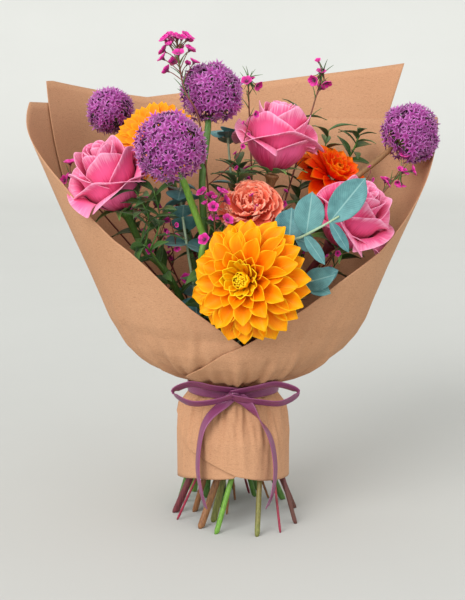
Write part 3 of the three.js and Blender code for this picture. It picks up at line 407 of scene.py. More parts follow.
# ------------------------------------------------------------------ the ribbon
# One length of narrow plum satin ribbon goes round the gathered paper and is tied in a bow at the
# front: two loops lie to the sides of the knot and two tails hang down over the skirt.
RIBBON_WIDTH = 10
RIBBON_THICKNESS = 0.0006
BAND_HALF = (42.1, 34.1)
BAND_HEIGHT = 122.5
LOOPS = [
    [
        (-1.2, -43.2, 127.2), (-22, -48, 131), (-42, -49, 135), (-57, -46, 127), (-43, -47, 117),
        (-22, -47, 118), (-1.6, -44, 123.2),
    ],
    [
        (-5.3, -42.9, 125), (16, -48, 131), (35, -49, 135), (54, -46, 127), (40, -47, 117),
        (18, -47, 118), (-4.9, -44.6, 121.2),
    ],
]
TAILS = [
    [
        (-1.7, -37.6, 124.4), (-12, -40.2, 115), (-26, -46, 103), (-33, -50, 88), (-36, -55, 60),
        (-33, -58, 38), (-29, -56, 22),
    ],
    [
        (-4.4, -40.6, 123.9), (8, -42, 116), (20, -46, 101), (30, -50, 84), (34, -55, 60),
        (32, -58, 38), (27, -56, 22),
    ],
]
KNOT = (-3, -39, 123.5)


def curve_through(points, t):
    """A smooth curve through points, t from 0 to 1, every point a fair share of it."""
    points = [Vector(p) for p in points]
    spot = min(t, 0.99999) * (len(points) - 1)
    i = int(spot)
    f = spot - i
    p1, p2 = points[i], points[i + 1]
    p0 = points[i - 1] if i else p1 * 2 - p2
    p3 = points[i + 2] if i + 2 < len(points) else p2 * 2 - p1
    square = (2 * p0 - 5 * p1 + 4 * p2 - p3) * f ** 2
    cube = (3 * p1 - p0 - 3 * p2 + p3) * f ** 3
    return 0.5 * (2 * p1 + (p2 - p0) * f + square + cube)


MERGE_WITHIN = 0.00001


def merge_doubles(piece, within=MERGE_WITHIN, outward=False):
    choose(piece)
    bpy.ops.object.mode_set(mode="EDIT")
    bpy.ops.mesh.select_all(action="SELECT")
    bpy.ops.mesh.remove_doubles(threshold=within)
    if outward:
        bpy.ops.mesh.normals_make_consistent(inside=False)
    bpy.ops.object.mode_set(mode="OBJECT")


def ribbon_strip(name, line, width_way, steps, cup=0.0):
    """line(t) gives the ribbon's middle in mm and width_way(t) the way its width lies."""
    def shape(u, v):
        spot = line(v)
        tangent = (line(min(v + 0.01, 1)) - line(max(v - 0.01, 0))).normalized()
        across = width_way(v)
        across = (across - tangent * across.dot(tangent)).normalized()
        off = across * (u - 0.5) * RIBBON_WIDTH + tangent.cross(across) * cup * (1 - (2 * u - 1) ** 2)
        return place(*(spot + off))

    return grid_piece(name, 6, steps, shape)


def join_as(name, parts):
    deselect()
    for part in parts:
        part.select_set(True)
    bpy.context.view_layer.objects.active = parts[0]
    bpy.ops.object.join()
    piece = bpy.context.object
    piece.name = name
    piece.data.name = name
    return piece


def band_line(t):
    angle = 2 * math.pi * t - math.pi / 2
    return Vector((
        TIE_PLACE.x + BAND_HALF[0] * math.cos(angle), BAND_HALF[1] * math.sin(angle), BAND_HEIGHT,
    ))


ribbon_parts = [ribbon_strip("ribbon_band", band_line, lambda t: Vector((0, 0.08, 1)), 96, 0.25)]
for points in LOOPS:
    ribbon_parts.append(ribbon_strip(
        "ribbon_loop", lambda t, p=points: curve_through(p, t),
        lambda t: Vector((0.12 * math.sin(9 * t), -0.8, 0.75)), 48, 0.4,
    ))
for side, points in zip((1, -1), TAILS):
    def tail_width(t, side=side):
        turn = smooth_step(t, 0.0, 0.55)
        return Vector((1, 0, 0)).lerp(Vector((0.35 * side, -0.95, 0)), turn)

    ribbon_parts.append(ribbon_strip(
        "ribbon_tail", lambda t, p=points: curve_through(p, t), tail_width, 60, 0.3,
    ))


def knot_shape(u, v):
    around = 2 * math.pi * u
    pinch = 1 - 0.16 * math.sin(math.pi * v) * math.cos(around * 2)
    radius = (2.6 + 3.2 * math.sin(math.pi * v) ** 0.5) * pinch
    return place(
        KNOT[0] + radius * math.cos(around) * 1.05,
        KNOT[1] + radius * math.sin(around) * 0.95,
        KNOT[2] + (v - 0.5) * 9.6 + 0.5 * math.sin(around * 3),
    )


ribbon = join_as("satin_ribbon", ribbon_parts + [grid_piece("ribbon_knot", 28, 12, knot_shape)])
merge_doubles(ribbon)
apply_modifier(ribbon, "SOLIDIFY", thickness=RIBBON_THICKNESS, offset=0)


def uv_of(material):
    """The UV map's vector, with its first and its second part."""
    vector = add_node(material, "ShaderNodeUVMap", uv_map="UVMap").outputs["UV"]
    split = add_node(material, "ShaderNodeSeparateXYZ")
    wire(material, vector, split.inputs["Vector"])
    return vector, split.outputs["X"], split.outputs["Y"]


satin, satin_shader = nodes_of("plum_satin", roughness=0.34, specular=0.5)
satin_uv, satin_across, _ = uv_of(satin)
satin_grain = speckle(satin, stretched(satin, satin_uv, (90, 900, 1)), 1.0, 2)
# Painted sheen: a lighter colour along both edges of the ribbon stands for the satin's sheen on its rims.
painted_edge_sheen = colour_ramp(satin, satin_across, [(0.0, WHITE), (0.06, BLACK), (0.94, BLACK), (1.0, WHITE)])
satin_tone = colour_ramp(satin, satin_grain, [(0.3, shade(112, 46, 86)), (0.7, shade(142, 70, 112))])
painted_edge_sheen_share = sum_of(satin, "MULTIPLY", painted_edge_sheen, 0.5)
paint(satin, satin_shader, blend_colours(satin, painted_edge_sheen_share, satin_tone, shade(164, 92, 134)))
relief(satin, satin_shader, satin_grain, 0.15, 0.0002)
finish_piece(ribbon, "satin_ribbon", satin, "ribbon")

# ------------------------------------------------------------------ the orange dahlia
# The largest bloom looks out at the front. Five rings of cupped petals open from a golden heart
# round a tight yellow button; each petal is orange, with a darker red-orange foot that is painted
# shade deep in the bloom and a yellow rim that is partly its own colour and partly a painted highlight.


def spread(n):
    """An even-handed share from 0 to 1 for the number n."""
    value = math.sin(n * 12.9898 + 4.1) * 43758.5453
    return value - math.floor(value)


def soft_profile(points, x):
    """Reads a curve smoothly through a few points."""
    for (x0, y0), (x1, y1) in zip(points, points[1:]):
        if x <= x1:
            t = (x - x0) / (x1 - x0)
            return y0 + (y1 - y0) * t * t * (3 - 2 * t) * 0.5 + (y1 - y0) * t * 0.5
    return points[-1][1]


def petal(
    name, length, half_width, outline, cup=0.3, curl=0.0, crease=0.0, ruffle=0.0, waves=3, grid=(8, 10),
):
    """One petal in millimetres: its foot at the origin, its length along +X, its face up, +Z."""
    def shape(u, v):
        side = 2 * u - 1
        wide = half_width * soft_profile(outline, v)
        bend = math.radians(curl) * v
        x = length * v * math.cos(bend) * (1 - 0.05 * side * side * v)
        z = length * v * math.sin(bend)
        rise = cup * wide * side * side - crease * math.exp(-(side * 5) ** 2) * math.sin(math.pi * v)
        rise += ruffle * v * v * math.sin(waves * math.pi * side + 4 * v) * (0.35 + 0.65 * abs(side))
        return Vector((x - rise * math.sin(bend), wide * side, z + rise * math.cos(bend))) / 1000

    return grid_piece(name, grid[0], grid[1], shape)


def petal_copy(model, matrix, number):
    """A copy of a petal with its own mesh, moved to its place; its number goes into the UV map."""
    fresh = model.copy()
    fresh.data = model.data.copy()
    bpy.context.scene.collection.objects.link(fresh)
    fresh.data.transform(matrix)
    for loop in fresh.data.uv_layers["UVMap"].data:
        loop.uv = (loop.uv[0] * 0.98 + 0.01 + number, loop.uv[1])
    return fresh


def remove_model(model):
    bpy.data.objects.remove(model, do_unlink=True)


def ring_of_petals(model, count, radius, height, elevation, seed, number, turn=0.0, sway=3.0, size=0.05):
    """Copies a petal round the axis: foot radius and height in mm, elevation in degrees."""
    copies = []
    for i in range(count):
        wobble = spread(seed * 17 + i * 3.7) - 0.5
        second = spread(seed * 29 + i * 5.3) - 0.5
        angle = 2 * math.pi * (i + turn) / count + math.radians(sway) * wobble
        matrix = (
            Matrix.Rotation(angle, 4, "Z")
            @ Matrix.Translation(Vector((radius, 0, height)) / 1000)
            @ Matrix.Rotation(-math.radians(elevation + 2.5 * sway * second), 4, "Y")
            @ Matrix.Rotation(math.radians(4 * sway * wobble), 4, "X")
            @ Matrix.Scale(1 - size * (0.5 + wobble), 4)
        )
        copies.append(petal_copy(model, matrix, number + i))
    return copies


def petal_rings(
    name, rings, outline, seed, crease, odd, drift, sway, size=0.05, grid=(8, 10), first=0, step=20,
):
    """Rings of petals, the outermost first: each odd ring is turned by odd, and each by drift more."""
    parts = []
    for row, (count, length, width, radius, height, elevation, curl, cup) in enumerate(rings):
        model = petal(name, length, width, outline, cup=cup, curl=curl, crease=crease, grid=grid)
        turn = odd * (row % 2) + drift * row
        parts += ring_of_petals(
            model, count, radius, height, elevation, seed + row, first + step * row, turn, sway, size,
        )
        remove_model(model)
    return parts


def turned_to(way):
    """The turn that brings straight up to a way."""
    return Vector((0, 0, 1)).rotation_difference(way).to_matrix().to_4x4()


def bloom_frame(at, facing, roll=0.0):
    turned = turned_to(Vector(facing).normalized())
    return Matrix.Translation(place(*at)) @ turned @ Matrix.Rotation(math.radians(roll), 4, "Z")


PETAL_THICKNESS = 0.0004


def thicken(piece, thickness=PETAL_THICKNESS):
    """Smooths a piece of thin petals or leaves and gives it its thickness."""
    apply_modifier(piece, "SUBSURF", levels=1, render_levels=1)
    apply_modifier(piece, "SOLIDIFY", thickness=thickness, offset=0)


def seat_bloom(name, parts, seat, slot, material, *nodes, thickness=PETAL_THICKNESS):
    """Joins the petals of a bloom, thickens them and moves them to their seat."""
    piece = join_as(name, parts)
    thicken(piece, thickness)
    piece.data.transform(seat)
    piece.data.update()
    finish_piece(piece, slot, material, *nodes)


def own_chance(material, number_across):
    """A number from 0 to 1 that is a petal's own, from the whole number in its UV map."""
    chance = add_node(material, "ShaderNodeTexWhiteNoise", noise_dimensions="1D")
    wire(material, sum_of(material, "FLOOR", number_across, 0.0), chance.inputs["W"])
    return chance.outputs["Value"]


def petal_material(
    name, foot, middle, tip, rim, vein=0.12, roughness=0.5, spots=(0.0, 0.3, 0.8, 1.0), lines=46, sheen=0.15,
):
    """Colour runs from a petal's foot to its tip, with a rim, fine lengthwise veins and its own tone."""
    material, shader = nodes_of(name, roughness=roughness, sheen=sheen, specular=0.18)
    uv, number_across, up = uv_of(material)
    across = sum_of(material, "FRACT", number_across, 0.0)
    fibre = speckle(material, stretched(material, uv, (lines, 2.5, 1)), 1.0, 2)
    own = own_chance(material, number_across)
    shift = sum_of(material, "MULTIPLY", sum_of(material, "SUBTRACT", own, 0.5), 0.16)
    fibre_shift = sum_of(material, "MULTIPLY", sum_of(material, "SUBTRACT", fibre, 0.5), 0.5)
    where = sum_of(material, "ADD", up, sum_of(material, "ADD", shift, fibre_shift), clamp=True)
    # The run from foot to tip carries painted shade where a caller gives a darker foot for the depth of a
    # bloom, as the dahlia, coral and roses do.
    run = colour_ramp(
        material, where, [(spots[0], foot), (spots[1], middle), (spots[2], middle), (spots[3], tip)]
    )
    # The rim lightens a petal's edges towards its tip; on the dahlia and the roses it is partly a painted
    # highlight.
    edge = colour_ramp(material, across, [(0.0, WHITE), (0.16, BLACK), (0.84, BLACK), (1.0, WHITE)])
    edge_share = sum_of(material, "MULTIPLY", edge, sum_of(material, "MULTIPLY", up, 0.85))
    rimmed = blend_colours(material, edge_share, run, rim)
    shaded = colour_ramp(material, fibre, [(0.3, (0.72, 0.72, 0.72, 1)), (0.65, WHITE)])
    darkened = blend_colours(material, 1.0, rimmed, shaded, "MULTIPLY")
    paint(material, shader, blend_colours(material, vein, rimmed, darkened))
    relief(material, shader, fibre, 0.35, 0.0005)
    return material


DAHLIA_PLACE = bloom_frame((7, -104, 239), (-0.35, -0.92, 0.17))
DAHLIA_OUTLINE = [(0, 0.3), (0.2, 0.5), (0.45, 0.82), (0.7, 1.0), (0.86, 0.96), (0.95, 0.72), (1.0, 0.24)]
DAHLIA_RINGS = [  # count, length, half width, foot radius, foot height, elevation, curl, cup
    (13, 49.5, 9.4, 7, -6, -3, -6, 0.7), (13, 48, 9.2, 7, -4, 6, -10, 0.75),
    (13, 42.5, 8.8, 7, -1, 16, -10, 0.75), (12, 36, 8.2, 6.5, 1, 27, -6, 0.75),
    (12, 28.5, 7.4, 6, 2, 39, 2, 0.8),
]
DAHLIA_HEART = [
    (11, 22, 6.4, 5, 3, 46, 14, 0.6), (9, 15, 4.8, 4, 5, 56, 24, 0.7), (7, 10, 3.6, 2.6, 6, 62, 44, 0.8),
]
dahlia_parts = petal_rings("dahlia_petal", DAHLIA_RINGS, DAHLIA_OUTLINE, 3, 0.9, 0.5, 0.06, 7, size=0.13)
heart_parts = petal_rings(
    "dahlia_heart_petal", DAHLIA_HEART, DAHLIA_OUTLINE, 13, 0.5, 0, 0.4, 6, grid=(6, 8), first=100,
)
# Painted shade and light: the darker red-orange foot is painted shade deep in the bloom, and the yellower tip
# and rim are partly the petals' own colour and partly a painted highlight.
dahlia_orange = petal_material(
    "dahlia_orange", shade(236, 74, 0), shade(255, 146, 0), shade(255, 176, 2), shade(255, 200, 20),
    spots=(0.08, 0.5, 0.74, 0.98), sheen=0.0,
)
seat_bloom("orange_dahlia", dahlia_parts, DAHLIA_PLACE, "orange_petals", dahlia_orange, "dahlia_orange")
dahlia_gold = petal_material(
    "dahlia_gold", shade(250, 150, 0), shade(255, 186, 0), shade(255, 212, 6), shade(255, 228, 40), sheen=0.0,
)
seat_bloom("dahlia_heart", heart_parts, DAHLIA_PLACE, "orange_petals", dahlia_gold)


GOLDEN_ANGLE = 2.39996  # radians, the turn from one floret to the next in a spiral
BUD_SIZE = (0.0012, 0.0011, 0.0026, 1)
BUD_LEAN = 0.7  # radians, of the outermost buds


def button(name, radius, height, frame_matrix, lobes=34, rise=5.0):
    """A low dome of little buds in a spiral, the closed heart of a bloom."""
    deselect()
    bpy.ops.mesh.primitive_uv_sphere_add(segments=8, ring_count=5, radius=1)
    bud = bpy.context.object
    parts = []
    for i in range(lobes):
        share = math.sqrt((i + 0.5) / lobes)
        angle = i * GOLDEN_ANGLE
        out = radius * share
        up = height + rise * (1 - share * share)
        spot = Vector((out * math.cos(angle), out * math.sin(angle), up)) / 1000
        turned = Matrix.Translation(spot) @ Matrix.Rotation(angle, 4, "Z")
        turned = turned @ Matrix.Rotation(BUD_LEAN * share, 4, "Y")
        parts.append(petal_copy(bud, turned @ Matrix.Diagonal(BUD_SIZE), i))
    remove_model(bud)
    piece = join_as(name, parts)
    piece.data.transform(frame_matrix)
    return piece


dahlia_button = button("dahlia_button", 5.4, 11.5, DAHLIA_PLACE)
button_yellow, button_shader = nodes_of("button_yellow", roughness=0.55)
button_mottle = speckle(button_yellow, object_place(button_yellow), 260, 2)
button_tone = colour_ramp(
    button_yellow, button_mottle, [(0.35, shade(196, 196, 20)), (0.6, shade(255, 206, 14))],
)
paint(button_yellow, button_shader, button_tone)
finish_piece(dahlia_button, "orange_petals", button_yellow)

# ------------------------------------------------------------------ the red dahlia
# A smaller dahlia at the right behind the roses, scarlet with orange tips; its petals are narrower
# and their sides roll inwards.
RED_PLACE = bloom_frame((88, 30, 313), (0.45, -0.51, 0.73))
RED_OUTLINE = [(0, 0.3), (0.25, 0.7), (0.5, 0.96), (0.68, 1.0), (0.84, 0.78), (0.94, 0.45), (1.0, 0.05)]
RED_RINGS = [  # as DAHLIA_RINGS
    (12, 34.5, 8.2, 5.5, -4, 4, -8, 0.5), (12, 30, 7.8, 5.5, -1, 22, -6, 0.55),
    (12, 22, 6.4, 5.5, 2, 42, 4, 0.6),
    (9, 15, 4.6, 4.5, 3.4, 58, 12, 0.7), (7, 11, 3.4, 3, 5, 72, 22, 0.8),
]
red_parts = petal_rings("red_petal", RED_RINGS, RED_OUTLINE, 43, 0.7, 0.5, 0, 4)
dahlia_scarlet = petal_material(
    "dahlia_scarlet", shade(250, 16, 0), shade(255, 62, 0), shade(255, 146, 6), shade(255, 110, 6),
    spots=(0.02, 0.34, 0.66, 1.0), sheen=0.0,
)
seat_bloom("red_dahlia", red_parts, RED_PLACE, "red_petals", dahlia_scarlet, "dahlia_red")

# ------------------------------------------------------------------ the gerbera
# An orange gerbera behind on the left: three rings of slim ray petals grow round a raised disc of
# tiny upright florets.
GERBERA_PLACE = bloom_frame((-74, 17, 347), (-0.15, -0.85, 0.5))
RAY_OUTLINE = [(0, 0.32), (0.2, 0.62), (0.5, 0.94), (0.75, 1.0), (0.9, 0.82), (0.97, 0.5), (1.0, 0.2)]
RAY_RINGS = [  # as DAHLIA_RINGS
    (22, 33.5, 5.4, 8.5, -3, 2, -6, 0.3), (22, 30, 5.2, 8.5, -1, 11, -6, 0.3),
    (18, 21, 4.0, 8, 1, 24, -8, 0.3),
]
DISC_RINGS = [  # count, foot radius, foot height, elevation
    (26, 8.2, 2, 52), (22, 6.4, 3, 64), (16, 4.4, 3.6, 76), (10, 2.2, 3.8, 84),
]
gerbera_parts = petal_rings("ray_petal", RAY_RINGS, RAY_OUTLINE, 63, 0.5, 0.5, 0, 4, grid=(6, 9), step=25)
model = petal("disc_floret", 6.0, 1.5, RAY_OUTLINE, cup=0.8, curl=20, grid=(4, 5))
for row, (count, radius, height, elevation) in enumerate(DISC_RINGS):
    gerbera_parts += ring_of_petals(
        model, count, radius, height, elevation, 73 + row, 100 + 30 * row, turn=0.3 * row, sway=7, size=0.2,
    )
remove_model(model)
gerbera_orange = petal_material(
    "gerbera_orange", shade(236, 72, 4), shade(255, 142, 0), shade(255, 172, 6), shade(255, 184, 20),
    spots=(0.05, 0.42, 0.8, 1.0), sheen=0.0,
)
seat_bloom("orange_gerbera", gerbera_parts, GERBERA_PLACE, "gerbera_petals", gerbera_orange, "gerbera_orange")

# ------------------------------------------------------------------ the coral bloom
# A ruffled coral bloom tucked in above the dahlia; its broad thin petals are frilled along their
# rims like a carnation's.
CORAL_PLACE = bloom_frame((11, -50, 293), (0, -0.7, 0.7))
CORAL_OUTLINE = [(0, 0.22), (0.25, 0.6), (0.5, 0.92), (0.75, 1.1), (0.9, 1.05), (0.97, 0.86), (1.0, 0.7)]
CORAL_RINGS = [  # count, length, half width, foot radius, foot height, elevation, curl, ruffle
    (9, 26, 12, 5.5, -8, 12, 6, 2.4), (9, 24, 11, 5, -6, 28, 8, 2.6), (8, 21, 10, 4.5, -4, 44, 8, 2.8),
    (7, 19, 8.5, 3.5, -3, 60, 8, 2.8), (6, 17, 7, 2.2, -2, 76, 6, 2.4),
]
coral_parts = []
for row, (count, length, width, radius, height, elevation, curl, ruffle) in enumerate(CORAL_RINGS):
    for kind in range(2):
        model = petal(
            "coral_petal", length, width, CORAL_OUTLINE, cup=0.25, curl=curl,
            ruffle=ruffle * (1 if kind else -0.9), waves=2.6 + kind, grid=(14, 10),
        )
        seed, turn = 83 + row + 5 * kind, 0.5 * (row % 2)
        half = ring_of_petals(model, count, radius, height, elevation, seed, 20 * row, turn, sway=9)
        for i, copy in enumerate(half):
            if i % 2 == kind:
                coral_parts.append(copy)
            else:
                remove_model(copy)
        remove_model(model)
# Painted shade: the darker red at the petals' feet stands for the shade in the folds of the ruffled bloom.
coral = petal_material(
    "coral_petal", shade(250, 66, 48), shade(255, 126, 96), shade(255, 158, 128), shade(255, 190, 164),
    vein=0.2, sheen=0.05,
)
seat_bloom("coral_bloom_petals", coral_parts, CORAL_PLACE, "coral_petals", coral, "coral_bloom")

# ------------------------------------------------------------------ the roses
# Three garden roses: pale mauve-pink petals with rolled rims are wrapped round one another from
# a tight spiral over five green sepals; the deep magenta at the petals' feet is painted shade in the
# folds, and their paler tips and rims are partly their own colour and partly painted light.
ROSES = [  # name, place, facing, roll
    ("rose_left", (-109, -47, 315), (-0.36, -0.29, 0.88), 50),
    ("rose_top", (35, -5, 346), (0.14, -0.01, 0.99), 75),
    ("rose_right", (98, -41, 281), (0.5, -0.42, 0.76), 140),
]
ROSE_WRAPS = [  # petals, low radius, belly, foot height, rim height, flare, span in degrees, closing
    (3, 7, 26.5, -25, 12, 14.0, 124, 0.0), (3, 7, 26.0, -25, 20, 11.5, 126, 0.0),
    (3, 6.5, 23.5, -23, 28, 7.0, 132, 0.04), (3, 6, 20.0, -19, 33.5, 4.0, 136, 0.12),
    (3, 5, 16.0, -14, 36, 2.2, 140, 0.16), (3, 4, 12.2, -9, 37, 1.4, 150, 0.18),
    (2, 3, 8.8, -4, 37.4, 0.9, 200, 0.16), (2, 2, 5.6, 0, 37.2, 0.5, 220, 0.12),
    (1, 1, 2.6, 4, 36.5, 0.1, 330, 0.05),
]
OPEN_ROWS = 3  # the outer rows, whose petals lean the most
ROSE_THICKNESS = 0.00045


def rose_petal(wrap, seed):
    """A petal wrapped round the rose's axis, with its rim rolled out."""
    count, low, belly, foot, rim, flare, span, closing = wrap
    lean = 0.6 + 0.8 * spread(seed)

    def shape(u, v):
        side = 2 * u - 1
        angle = math.radians(span) / 2 * side
        grown = math.sin(math.pi / 2 * min(v * 1.45, 1)) ** 0.85
        radius = low + (belly - low) * grown
        radius *= 1 + 0.05 * side * v
        radius *= 1 - closing * smooth_step(v, 0.45, 0.95)
        rounded = 1 - 0.3 * abs(side) ** 2.3
        point = 0.07 * math.exp(-(side * 4.5) ** 2) * (flare > 3)
        height = foot + (rim - foot) * v * (1 + (rounded + point - 1) * v)
        roll = smooth_step(v, 0.6, 1.0)
        lift = lean * (0.75 + 0.5 * abs(side + 0.3 * math.sin(seed)))
        radius += flare * roll ** 1.5 * lift
        height -= flare * 0.5 * roll ** 3 * lift
        height += 0.5 * math.sin(3 * side + seed) * v
        return Vector((radius * math.cos(angle), radius * math.sin(angle), height)) / 1000

    return grid_piece("rose_petal", 16, 14, shape)


# Painted shade and light: the deep magenta foot is painted shade in the folds, and the pale tip and rim are
# partly the petals' own colour and partly painted light.
rose_skin = petal_material(
    "rose_pink", shade(206, 16, 84), shade(246, 104, 158), shade(255, 172, 204), shade(255, 158, 194),
    vein=0.35, roughness=0.5, spots=(0.2, 0.6, 0.8, 1.0), lines=34, sheen=0.1,
)
for number, (name, at, facing, roll) in enumerate(ROSES):
    rose_parts = []
    for row, wrap in enumerate(ROSE_WRAPS):
        for kind in range(wrap[0]):
            model = rose_petal(wrap, seed=number * 11 + row * 5 + kind * 1.7)
            turn = 360 * (kind + 0.5 * (row % 2)) / wrap[0] + 17 * row + 16 * spread(number + row * 7 + kind)
            tilt = (3.5 if row < OPEN_ROWS else 1.2) * (spread(number * 5 + row * 3 + kind) - 0.4)
            matrix = Matrix.Rotation(math.radians(turn), 4, "Z") @ Matrix.Rotation(math.radians(tilt), 4, "Y")
            rose_parts.append(petal_copy(model, matrix, row * 10 + kind))
            remove_model(model)
    seat = bloom_frame(at, facing, roll)
    seat_bloom(name + "_petals", rose_parts, seat, "rose_petals", rose_skin, name, thickness=ROSE_THICKNESS)

SEPAL_OUTLINE = [(0, 0.7), (0.2, 1.0), (0.5, 0.72), (0.8, 0.32), (1.0, 0.02)]
sepal_green = petal_material(
    "sepal_green", shade(92, 128, 48), shade(98, 142, 62), shade(120, 160, 80), shade(140, 176, 100),
    vein=0.25,
)
sepal_model = petal("rose_sepal", 27, 5.2, SEPAL_OUTLINE, cup=0.25, curl=-34, crease=0.5, grid=(6, 12))
for name, at, facing, roll in ROSES:
    sepals = []
    for i in range(5):
        droop = 26 + 26 * spread(i * 3 + roll)
        matrix = (
            Matrix.Rotation(2 * math.pi * i / 5, 4, "Z") @ Matrix.Translation((0.0052, 0, -0.0268))
            @ Matrix.Rotation(-math.radians(droop), 4, "Y")
        )
        sepals.append(petal_copy(sepal_model, matrix, i))
    seat_bloom(name + "_sepals", sepals, bloom_frame(at, facing, roll), "green_stem", sepal_green)
remove_model(sepal_model)

# ------------------------------------------------------------------ the alliums
# Four round heads of violet star florets surround a green hub at the end of the stem; thin green
# stalks run from the hub out to every second floret.
ALLIUMS = [  # name, middle, facing, radius
    ("allium_left", (-56, -77, 348), (-0.3, -0.25, 0.91), 31),
    ("allium_top", (-23, -18, 390), (0.1, 0.3, 0.93), 28),
    ("allium_back", (-119, 55, 372), (-0.6, 0.38, 0.6), 22),
    ("allium_right", (156, 10, 354), (0.72, 0.2, 0.58), 27),
]
FLORET_PETALS = 6
FLORETS = 330  # on the largest head, whose radius is LARGEST_HEAD
LARGEST_HEAD = 31
CROWDING = 1.4  # the power of the radius by which the number of florets grows
FLORET_REACH = (0.76, 0.19)  # the least share of the radius, and how much more it may be
FLORET_SIZE = (0.0046, 0.0022)  # the least radius in metres, and how much more it may be
FLORET_THICKNESS = 0.0003
STALK_HALVES = (0.0007, 0.0004)  # radius at the hub and at the floret, in metres
HUB_SHARE = 0.5  # of the radius of the head
BARE_BELOW = -0.72  # share of the radius below which most florets have dropped round the stem


def star_floret():
    """Six pointed petals round a small raised middle, 1 unit in radius, on the XY plane."""
    deselect()
    bpy.ops.mesh.primitive_circle_add(vertices=FLORET_PETALS * 2, radius=1, fill_type="TRIFAN")
    piece = bpy.context.object
    for vertex in piece.data.vertices:
        out = math.hypot(vertex.co.x, vertex.co.y)
        if out < 0.01:
            vertex.co.z = 0.0
            continue
        step = round(math.atan2(vertex.co.y, vertex.co.x) / (math.pi / FLORET_PETALS)) % 2
        reach = 0.4 if step else 1.0
        vertex.co = (vertex.co.x / out * reach, vertex.co.y / out * reach, 0.16 if step else 0.5)
    layer = piece.data.uv_layers.active or piece.data.uv_layers.new(name="UVMap")
    layer.name = "UVMap"
    for loop in piece.data.loops:
        corner = piece.data.vertices[loop.vertex_index].co
        layer.data[loop.index].uv = (0.5, math.hypot(corner.x, corner.y))
    return piece


allium_violet, allium_shader = nodes_of("allium_violet", roughness=0.55, sheen=0.2)
_, floret_number, floret_reach = uv_of(allium_violet)
# Painted shade: each floret runs from a dark magenta middle, which stands for the shade deep in the head, out
# to its own pale lilac tips.
allium_run = colour_ramp(allium_violet, floret_reach, [
    (0.0, shade(112, 12, 84)), (0.3, shade(168, 48, 146)),
    (0.65, shade(204, 98, 190)), (1.0, shade(240, 176, 232)),
])
allium_pale = colour_ramp(
    allium_violet, own_chance(allium_violet, floret_number), [(0.0, (0.5, 0.34, 0.5, 1)), (1.0, WHITE)]
)
paint(allium_violet, allium_shader, blend_colours(allium_violet, 1.0, allium_run, allium_pale, "MULTIPLY"))
stalk_green, stalk_shader = nodes_of("stalk_green", roughness=0.6)
stalk_mottle = speckle(stalk_green, object_place(stalk_green), 120, 2)
stalk_tone = colour_ramp(stalk_green, stalk_mottle, [(0.3, shade(70, 84, 34)), (0.7, shade(122, 128, 70))])
paint(stalk_green, stalk_shader, stalk_tone)
floret_model = star_floret()
for name, at, facing, radius in ALLIUMS:
    count = round(FLORETS * (radius / LARGEST_HEAD) ** CROWDING)
    florets = []
    stalks = []
    heart = place(*at)
    crown = Vector(facing).normalized()
    for i in range(count):
        level = 1 - 2 * (i + 0.5) / count
        around = i * GOLDEN_ANGLE
        flat = math.sqrt(1 - level * level)
        out = Vector((flat * math.cos(around), flat * math.sin(around), level))
        stray = Vector((spread(i) - 0.5, spread(i + 40) - 0.5, spread(i + 80) - 0.5))
        out = (out + 0.12 * stray).normalized()
        if out.dot(crown) < BARE_BELOW and i % 3:
            continue
        away = (radius * (FLORET_REACH[0] + FLORET_REACH[1] * spread(i * 1.9 + radius)) - 0.5) / 1000
        size = FLORET_SIZE[0] + FLORET_SIZE[1] * spread(i * 2.3)
        turned = turned_to(out)
        tilt = Matrix.Rotation(1.1 * (spread(i * 3.1) - 0.5), 4, "X")
        tilt = tilt @ Matrix.Rotation(6.3 * spread(i * 4.7), 4, "Z")
        matrix = Matrix.Translation(heart + out * away) @ turned @ tilt @ Matrix.Scale(size, 4)
        florets.append(petal_copy(floret_model, matrix, i))
        if i % 2 == 0:
            deselect()
            bpy.ops.mesh.primitive_cone_add(
                vertices=4, radius1=STALK_HALVES[0], radius2=STALK_HALVES[1], depth=away - 0.003,
                end_fill_type="TRIFAN", location=heart + out * (away + 0.002) / 2, rotation=turned.to_euler(),
            )
            stalks.append(bpy.context.object)
    head = join_as(name + "_florets", florets)
    apply_modifier(head, "SOLIDIFY", thickness=FLORET_THICKNESS, offset=0)
    finish_piece(head, "allium_florets", allium_violet, name)
    deselect()
    bpy.ops.mesh.primitive_ico_sphere_add(subdivisions=4, radius=radius / 1000 * HUB_SHARE, location=heart)
    hub = bpy.context.object
    for vertex in hub.data.vertices:
        out = vertex.co.normalized()
        vertex.co *= 1 + 0.07 * math.sin(out.x * 23) * math.sin(out.y * 21) * math.sin(out.z * 25)
    stalks.append(hub)
    spray = join_as(name + "_stalks", stalks)
    bpy.ops.object.transform_apply(location=True, rotation=True, scale=True)
    finish_piece(spray, "green_stem", stalk_green)
remove_model(floret_model)

# ------------------------------------------------------------------ the bloom stems
# Each bloom stands on its own cut stem, which runs down between the others through the tie and
# ends in a slanted cut below the paper; the greens and reds differ from stem to stem.


def copy_of_node(node, name):
    source = bpy.data.objects[node]
    piece = source.copy()
    piece.data = source.data.copy()
    piece.name = name
    piece.data.name = name
    bpy.context.scene.collection.objects.link(piece)
    merge_doubles(piece)
    return piece


CUT_BELOW = 0.045  # the cut ends lie below this height, in metres
LEVEL_ENOUGH = 0.75  # the least upright part of the normal of a cut face
CUT_CREASE = 0.95


